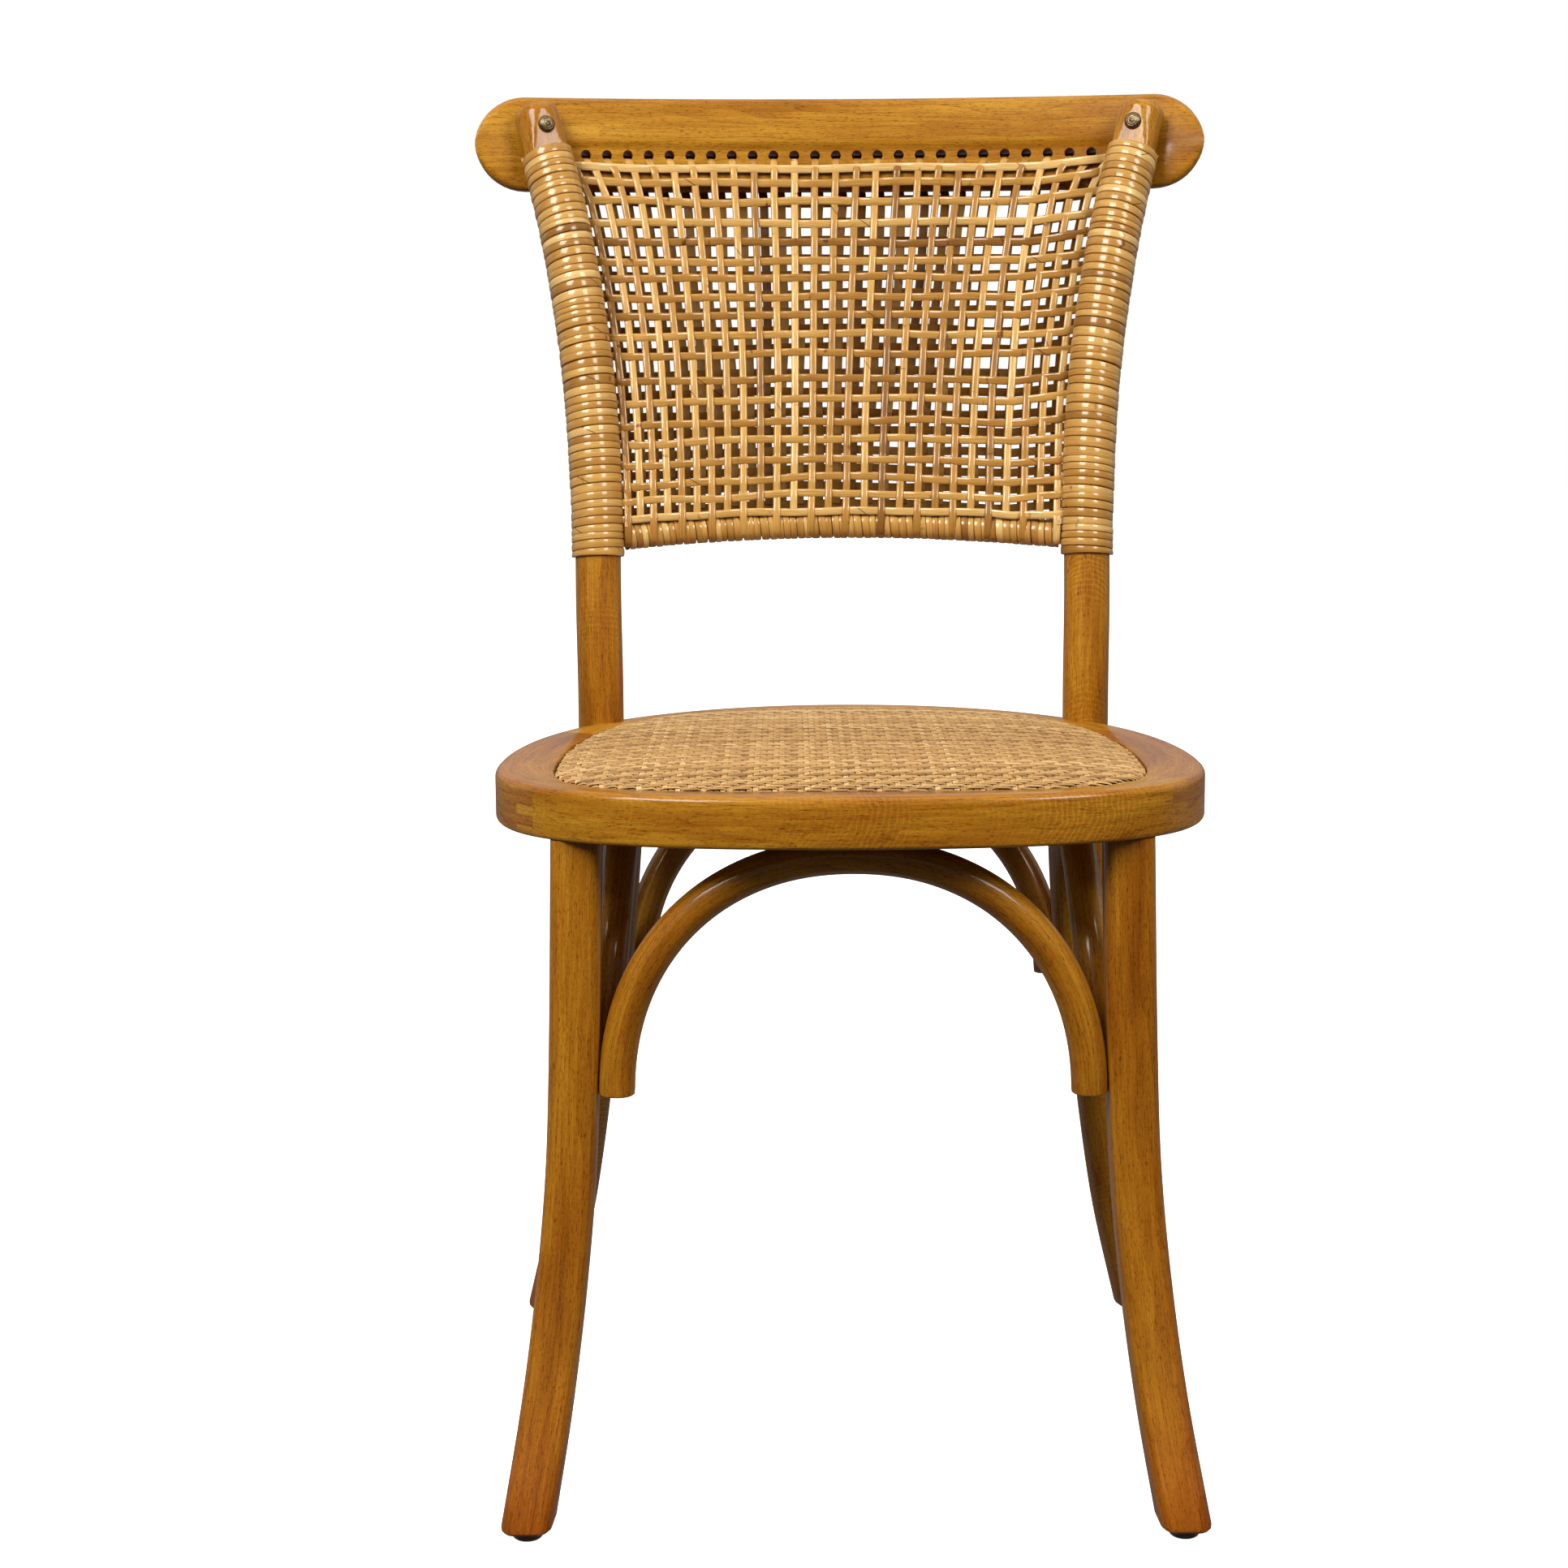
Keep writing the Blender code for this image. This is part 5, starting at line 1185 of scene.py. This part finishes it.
# %% Windings
WRAP_TIGHTNESS, WRAP_SEAT = 0.985, 0.0001
WRAP_THICKNESS, RAIL_WRAP_THICKNESS = 0.0026, 0.0025
WIDTH_SPREAD, SWELL, SWELL_SPREAD, WRAP_TONE_SPREAD = 0.5, 0.96, 0.22, 0.9
HALF_ROUND_SHARES = ((-1, 0), (1, 0), (0.99, 0.66), (0.84, 0.90), (0.38, 0.99), (-0.38, 0.99),
                     (-0.84, 0.90), (-0.99, 0.66))


def half_round(width, thickness):
    """A flat underside and a domed top, across and outward."""
    return [(width / 2 * across, thickness * out) for across, out in HALF_ROUND_SHARES]


def add_helix(bm, layers, path, side, radius, turns, per_turn, thickness, hand, seed):
    """A strand wound round a path. Its width differs from turn to turn, and what would stand past
    the ends of the path is cut off level."""
    marks = lengths_of(path)
    widths = [1 + WIDTH_SPREAD * wobble(k * 1.37, seed * 2.1, 3.3) for k in range(turns + 2)]
    starts = [0.0]
    for width in widths:
        starts.append(starts[-1] + width * marks[-1] / sum(widths[:turns]))

    def reached(turn):
        k = max(0, int(turn))
        return starts[k] + (starts[k + 1] - starts[k]) * (turn - k)

    stations = [reached(i / per_turn) for i in range(turns * per_turn + 1)]
    axis = frames([along_path(path, marks, min(s, marks[-1])) for s in stations], side)
    rings, grains, tones = [], [], []
    step = tau * radius / per_turn
    for i, (point, tangent, first, second) in enumerate(axis):
        angle = hand * tau * i / per_turn + (pi if hand > 0 else 0)
        outward = first * cos(angle) + second * sin(angle)
        turn = i / per_turn
        width = (reached(turn + 0.5) - reached(turn - 0.5)) * WRAP_TIGHTNESS
        swell = min(1.0, SWELL + SWELL_SPREAD * wobble(turn * 0.9, seed + 7, 0))
        room = [min(1.0, (reach + 0.0004) / (width / 2)) for reach in (stations[i], marks[-1] - stations[i])]
        places = [(u * room[u > 0], v) for u, v in half_round(width, thickness)]
        rings.append([point + tangent * u + outward * (radius + v * swell) for u, v in places])
        grains.append([(u, v, i * step + seed) for u, v in places])
        tones.append(0.5 + WRAP_TONE_SPREAD * wobble(turn * 0.83, seed * 3, 5))
    roll(bm, layers, rings, grains, tones, 2)


# %% Wrapped posts and bottom rail
POST_WINDING_START, POST_WINDING_END = 0.5690, WINDING_TOP - 0.0006
POST_TURNS, RAIL_TURNS = 52, 62
BOTTOM_RAIL_Z, BOTTOM_RAIL_RADIUS = SEAT_HEIGHT + 0.1285, 0.0075
BOTTOM_RAIL_BOW, BOTTOM_RAIL_RISE, WOUND_SHARE = 0.027, 0.008, 0.89
RAIL_POST = at_height(REAR_PATH, BOTTOM_RAIL_Z)


def bottom_rail_point(share):
    """The middle of the bottom rail, at a share of its half length."""
    curve = 1 - share ** 2
    return Vector((RAIL_POST.x * share, RAIL_POST.y + BOTTOM_RAIL_BOW * curve,
                   BOTTOM_RAIL_Z + BOTTOM_RAIL_RISE * curve))


for name, hand in (("left", -1), ("right", 1)):
    path = rear_leg_path(hand)
    low, high = at_height(path, POST_WINDING_START), at_height(path, POST_WINDING_END)
    line = [low] + [p for p in path if low.z < p.z < high.z] + [high]
    bm, *layers = new_mesh()
    add_helix(bm, layers, line, X_AXIS, REAR_LEG_RADIUS + WRAP_SEAT, POST_TURNS, 28, WRAP_THICKNESS,
              -hand, 1.3 + hand)
    finish_piece(name + "_post_wraps", bm, CANE, "cane", name + "_post_winding")

rail_line = [bottom_rail_point(WOUND_SHARE * (i / 40 - 1)) for i in range(81)]
bm, *layers = new_mesh()
add_helix(bm, layers, rail_line, Z_AXIS, BOTTOM_RAIL_RADIUS + WRAP_SEAT, RAIL_TURNS, 20,
          RAIL_WRAP_THICKNESS, 1, 0.7)
finish_piece("bottom_rail_wraps", bm, CANE, "cane", "bottom_rail_winding")

# %% [markdown]
# ## Cane nets
#
# Both faces of the back are woven openly of narrow strands. The upright strands come out of
# the crest rail's holes, run down over the lower band and turn round the bottom rail. The level
# strands go from post to post, over one upright and under the next. The net behind repeats the
# one in front from the back of the rails, a little to one side and higher up.

# %% Places on the nets
UPRIGHTS, LEVELS = 27, 19
MIDDLE_UPRIGHT = (UPRIGHTS - 1) / 2
ROOM = WRAP_RADIUS + 0.0004
RAIL_SHARE = 1 - ROOM / RAIL_POST.x
NET_MID = 0.0016
LEVEL_HEIGHTS = (0.039, 0.0825, 0.1255, 0.1745, 0.23, 0.2775, 0.3365, 0.3905, 0.458, 0.5095,
                 0.5615, 0.61, 0.6625, 0.7075, 0.7595, 0.812, 0.871, 0.9235, 0.9635)
NET_EDGE, BAND_HEIGHT = 0.9, 0.88
REAR_SHIFT, REAR_RISE, REAR_LOW, REAR_LOW_HEIGHT = 0.42, 0.026, 0.015, 0.15
SPREAD, HOLE_SPREAD, INNER_SPREAD = 0.985, 0.0406, 0.07
LEFT_SHIFT, LEFT_LEAN, REAR_WANDER = 0.0105, 0.054, 0.6


def net_point(share, height, face):
    """A place on a net: share from post to post, height 0 at the bottom rail, 1 at the holes. Face
    is 1 for the net in front and -1 for the one behind."""
    top_z, edge_z = CREST_Z - HOLE_DROP, CREST_Z - CREST_HEIGHT / 2
    rail = bottom_rail_point(share * RAIL_SHARE)
    if height <= NET_EDGE:
        z = rail.z + (edge_z - rail.z) * height / NET_EDGE
    else:
        z = edge_z + (top_z - edge_z) * (height - NET_EDGE) / (1 - NET_EDGE)
    x = share * (at_height(REAR_PATH, z).x - ROOM)
    high_z = top_z if face > 0 else edge_z
    high_x = share * (at_height(REAR_PATH, high_z).x - ROOM)
    surface = BAND_STEP - CREST_THICKNESS / 2 if face > 0 else CREST_THICKNESS / 2 - 0.0004
    if z > high_z:
        return Vector((x, crest_centre(x, z) + surface - face * NET_MID, z))
    high_y = crest_centre(high_x, high_z) + surface - face * NET_MID
    lean = atan2(high_y - rail.y, high_z - rail.z)
    low_y = rail.y - face * (BOTTOM_RAIL_RADIUS + WRAP_THICKNESS + NET_MID) / cos(lean)
    return Vector((x, low_y + (high_y - low_y) * (z - rail.z) / (high_z - rail.z), z))


def level_height(j, face):
    """Share of the height of level strand j, or of a place between two of them."""
    k = max(0, min(LEVELS - 2, int(j)))
    height = LEVEL_HEIGHTS[k] + (LEVEL_HEIGHTS[k + 1] - LEVEL_HEIGHTS[k]) * (j - k)
    if face > 0:
        return height
    return height + REAR_RISE * (1 - height) - REAR_LOW * max(0.0, 1 - height / REAR_LOW_HEIGHT)


def upright_share(i, height, face):
    """Share of the half width at which upright i stands at a height. In the photo the uprights
    stand a little left of even places, and spread towards their holes."""
    s = (i - MIDDLE_UPRIGHT) / MIDDLE_UPRIGHT
    inner = 1 - min(1.0, s * s)
    top = max(0.0, height - BAND_HEIGHT) / (1 - BAND_HEIGHT)
    share = s * (SPREAD + HOLE_SPREAD * top) + INNER_SPREAD * s * inner * (1 - top)
    share -= (LEFT_SHIFT + LEFT_LEAN * (1 - height)) * inner
    if face < 0:
        aside = REAR_SHIFT + REAR_WANDER * wobble(i * 0.31, height * 2.3, 7)
        share += aside / MIDDLE_UPRIGHT * inner * (1 - top)
    return share


# %% Strands of the nets
PER_CROSSING = 5
LEVEL_CLIMB = {-1: 0.001, 1: 0.0048}
CLIMB_START, OUT_PAST_POST, BACK_PAST_POST = 0.78, 0.12, 0.05
STRAND_THICKNESS, STRAND_BULGE = 0.0019, 0.00085
UPRIGHT_WANDER, LEVEL_WANDER, STRAND_TONE_SPREAD = 0.005, 0.008, 0.8
FULL_IN_HOLE, TURN_CLEAR = (1.4, 1.5), 0.0010
EDGE_SHARE, EDGE_WIDTH, EDGE_THICKNESS, EDGE_TONE = 0.992, 0.0026, 0.0016, 0.4
UPRIGHT_WIDTHS, LEVEL_WIDTHS, WIDER_ABOVE = {1: 0.0053, -1: 0.0064}, {1: 0.0055, -1: 0.0060}, 0.0006
HOLE_PATHS = {1: ((0.0015, 0.0060), (0.0011, 0.0047), (-0.0005, 0.0031), (-0.004, 0.0017),
                  (-0.011, 0.0006)),
              -1: ((0.0015, 0.0045), (0.0014, 0.0022), (0.0010, -0.0004), (-0.0012, -0.0014),
                   (-0.0065, -0.0014))}
RAIL_TURN = ((185, 0), (205, 0.0002), (222, 0.0012), (236, 0.0026))


def bulge(crossing):
    """How far a strand stands forward as it goes over and under the ones that cross it."""
    return STRAND_BULGE * cos(pi * crossing)


def smooth_bends(path):
    """Ease the kinks of a path a little, with its ends kept."""
    for _ in range(2):
        eased = [(a + b * 2 + c) / 4 for a, b, c in zip(path, path[1:], path[2:])]
        path = [path[0]] + eased + [path[-1]]
    return path


def strand_section(width, thickness, sign):
    """The half round section, with its domed side forward or back."""
    return [(u, (v - thickness / 2) * sign) for u, v in half_round(width, thickness)]


def add_upright(bm, layers, i, face):
    """An upright strand. It runs up into its hole, and every second one goes round the rail."""
    path = []
    for k in range((LEVELS - 1) * PER_CROSSING + 1):
        j = k / PER_CROSSING
        height = level_height(j, face)
        wander = UPRIGHT_WANDER * wobble(i * 4.1, j * 0.23, face * 3)
        point = net_point(upright_share(i, height, face) + wander, height, face)
        path.append(point - Vector((0, face * bulge(j + i), 0)))
    mouth = hole_mouth(i)
    into = into_crest(mouth.x)
    if face < 0:
        mouth += into * (CREST_THICKNESS - BAND_STEP)
    for out, drop in HOLE_PATHS[face]:
        path.append(mouth - into * out * face - Z_AXIS * drop)
    rail = bottom_rail_point(upright_share(i, 0, face) * RAIL_SHARE)
    for angle, sunk in RAIL_TURN if i % 2 == 0 else ():
        turn, reach = radians(angle), BOTTOM_RAIL_RADIUS + WRAP_THICKNESS + TURN_CLEAR - sunk
        path.insert(0, rail + Vector((0, face * reach * cos(turn), reach * sin(turn))))
    tone = 0.5 + STRAND_TONE_SPREAD * wobble(i * 2.9, face, 1.5)
    fuller = {len(path) - 1: FULL_IN_HOLE, len(path) - 2: FULL_IN_HOLE} if face < 0 else {}
    # The last two rings lie deep in the hole and are painted dark as shade.
    add_strip(bm, layers, smooth_bends(path), X_AXIS,
              strand_section(UPRIGHT_WIDTHS[face], STRAND_THICKNESS, -face), i + face * 40, tone, fuller, 2)


def add_level(bm, layers, j, face):
    """A level strand. It climbs a little where it goes behind the winding of each post."""
    width = LEVEL_WIDTHS[face] + WIDER_ABOVE * j / (LEVELS - 1)
    tone = 0.5 + STRAND_TONE_SPREAD * wobble(j * 3.7, face, 8.5)
    path = []
    for k in range(-PER_CROSSING, UPRIGHTS * PER_CROSSING + 1):
        i = k / PER_CROSSING
        height = level_height(j, face) + LEVEL_WANDER * wobble(i * 0.21, j * 3.3, face * 5)
        share = upright_share(i, height, face)
        inside = max(-0.99, min(0.99, share))
        past = share - inside
        climb = LEVEL_CLIMB[1 if share > 0 else -1] * max(0.0, abs(share) - CLIMB_START) / (1 - CLIMB_START)
        back = face * abs(past) * BACK_PAST_POST - face * bulge(i + j + 1)
        bend = Vector((past * OUT_PAST_POST, back, climb))
        path.append(net_point(inside, height, face) + bend)
    add_strip(bm, layers, path, Z_AXIS, strand_section(width, STRAND_THICKNESS, face), j + face * 90, tone)


def add_edge_strand(bm, layers, hand, face):
    """The thin strand that closes the net beside a post."""
    path = [net_point(hand * EDGE_SHARE, height / 40, face) for height in range(1, 37)]
    section = strand_section(EDGE_WIDTH, EDGE_THICKNESS, -face)
    add_strip(bm, layers, path, X_AXIS, section, hand * 7 + face * 30, EDGE_TONE)


def add_net(name, face):
    bm, *layers = new_mesh()
    for i in range(UPRIGHTS):
        add_upright(bm, layers, i, face)
    for j in range(LEVELS):
        add_level(bm, layers, j, face)
    for hand in (-1, 1):
        add_edge_strand(bm, layers, hand, face)
    finish_piece(name, bm, CANE, "cane", "cane_net_front" if face > 0 else "cane_net_rear", smooth=60.0)


add_net("front_weave", 1)
add_net("rear_weave", -1)

# %% [markdown]
# ## Screws, glides and what stays as packed
#
# The two brass screws that hold the crest rail have domed heads, turned with fine rings and a
# small pit. They are spun from a profile. The glides are turned discs. The hidden steel screws
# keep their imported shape.

# %% Turned parts
SCREW_HEAD_RADIUS, SCREW_DOME, SCREW_SHANK = 0.00625, 0.0035, 0.0025
SCREW_LENGTH = 2 * REAR_LEG_RADIUS - FACET_DEPTH + 0.012
HEAD_SHARES = ((0.0, 0.72), (0.10, 0.74), (0.17, 1.0), (0.34, 0.95), (0.37, 0.90), (0.41, 0.92),
               (0.60, 0.80), (0.63, 0.74), (0.67, 0.75), (0.84, 0.50), (0.96, 0.24), (1.0, 0.08), (1.0, 0))


def spun(profile, steps=40):
    """Spin a profile of radii and heights into a closed turned part."""
    bm = bmesh.new()
    verts = [bm.verts.new((radius, 0, height)) for radius, height in profile]
    edges = [bm.edges.new(pair) for pair in zip(verts, verts[1:])]
    bmesh.ops.spin(bm, geom=verts + edges, cent=(0, 0, 0), axis=(0, 0, 1), angle=tau, steps=steps,
                   use_merge=True)
    bmesh.ops.remove_doubles(bm, verts=bm.verts, dist=0.00002)
    return bm


def add_crest_screw(side, hand):
    """From the pit in the middle of the head, over its rings and rim, down to the tip."""
    profile = [(SCREW_HEAD_RADIUS * r, -SCREW_DOME * z) for r, z in HEAD_SHARES]
    profile += [(SCREW_SHANK, 0), (SCREW_SHANK, SCREW_LENGTH - SCREW_SHANK), (0, SCREW_LENGTH)]
    into = crest_screw_direction(hand)
    bm = spun(profile)
    turn = Z_AXIS.rotation_difference(into).to_matrix().to_4x4()
    place = Matrix.Translation(crest_screw_seat(hand) - into * GAP)
    bmesh.ops.transform(bm, matrix=place @ turn, verts=bm.verts)
    finish_piece("crest_screw_" + side + "_turned", bm, BRASS, "antique_brass", "crest_screw_" + side)


add_crest_screw("left", -1)
add_crest_screw("right", 1)

# %% Glides
GLIDE_PROFILE = ((GLIDE_RADIUS, GLIDE_THICKNESS), (0.0004, GLIDE_THICKNESS), (0, GLIDE_THICKNESS - 0.0004),
                 (0, 0.0016), (0.0004, 0.0007), (0.0013, 0), (GLIDE_RADIUS, 0))


def add_glide(node):
    """A disc under a foot. Its profile is given by how far it lies inside the rim, and by height."""
    low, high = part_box(node)
    bm = spun([(GLIDE_RADIUS - inset, height) for inset, height in GLIDE_PROFILE])
    bmesh.ops.translate(bm, verts=bm.verts, vec=((low.x + high.x) / 2, (low.y + high.y) / 2 - RING_FRONT, 0))
    finish_piece(node + "_disc", bm, PLASTIC, "brown_plastic", node)


for where in ("front_left", "front_right", "rear_left", "rear_right"):
    add_glide("glide_" + where)

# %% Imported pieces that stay


def repaint(node, material):
    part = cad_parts[node]
    part.data.materials.clear()
    part.data.materials.append(material)


hidden_steel = [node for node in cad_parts
                if ("screw" in node or "bolt" in node) and "crest" not in node]
repaint("seat_board", PLYWOOD)
repaint("back_bottom_rail", PLAIN_WOOD)
for node in hidden_steel:
    repaint(node, STEEL)
print("hidden screws and bolts:", len(hidden_steel))

# %% Update the view layer
bpy.context.view_layer.update()
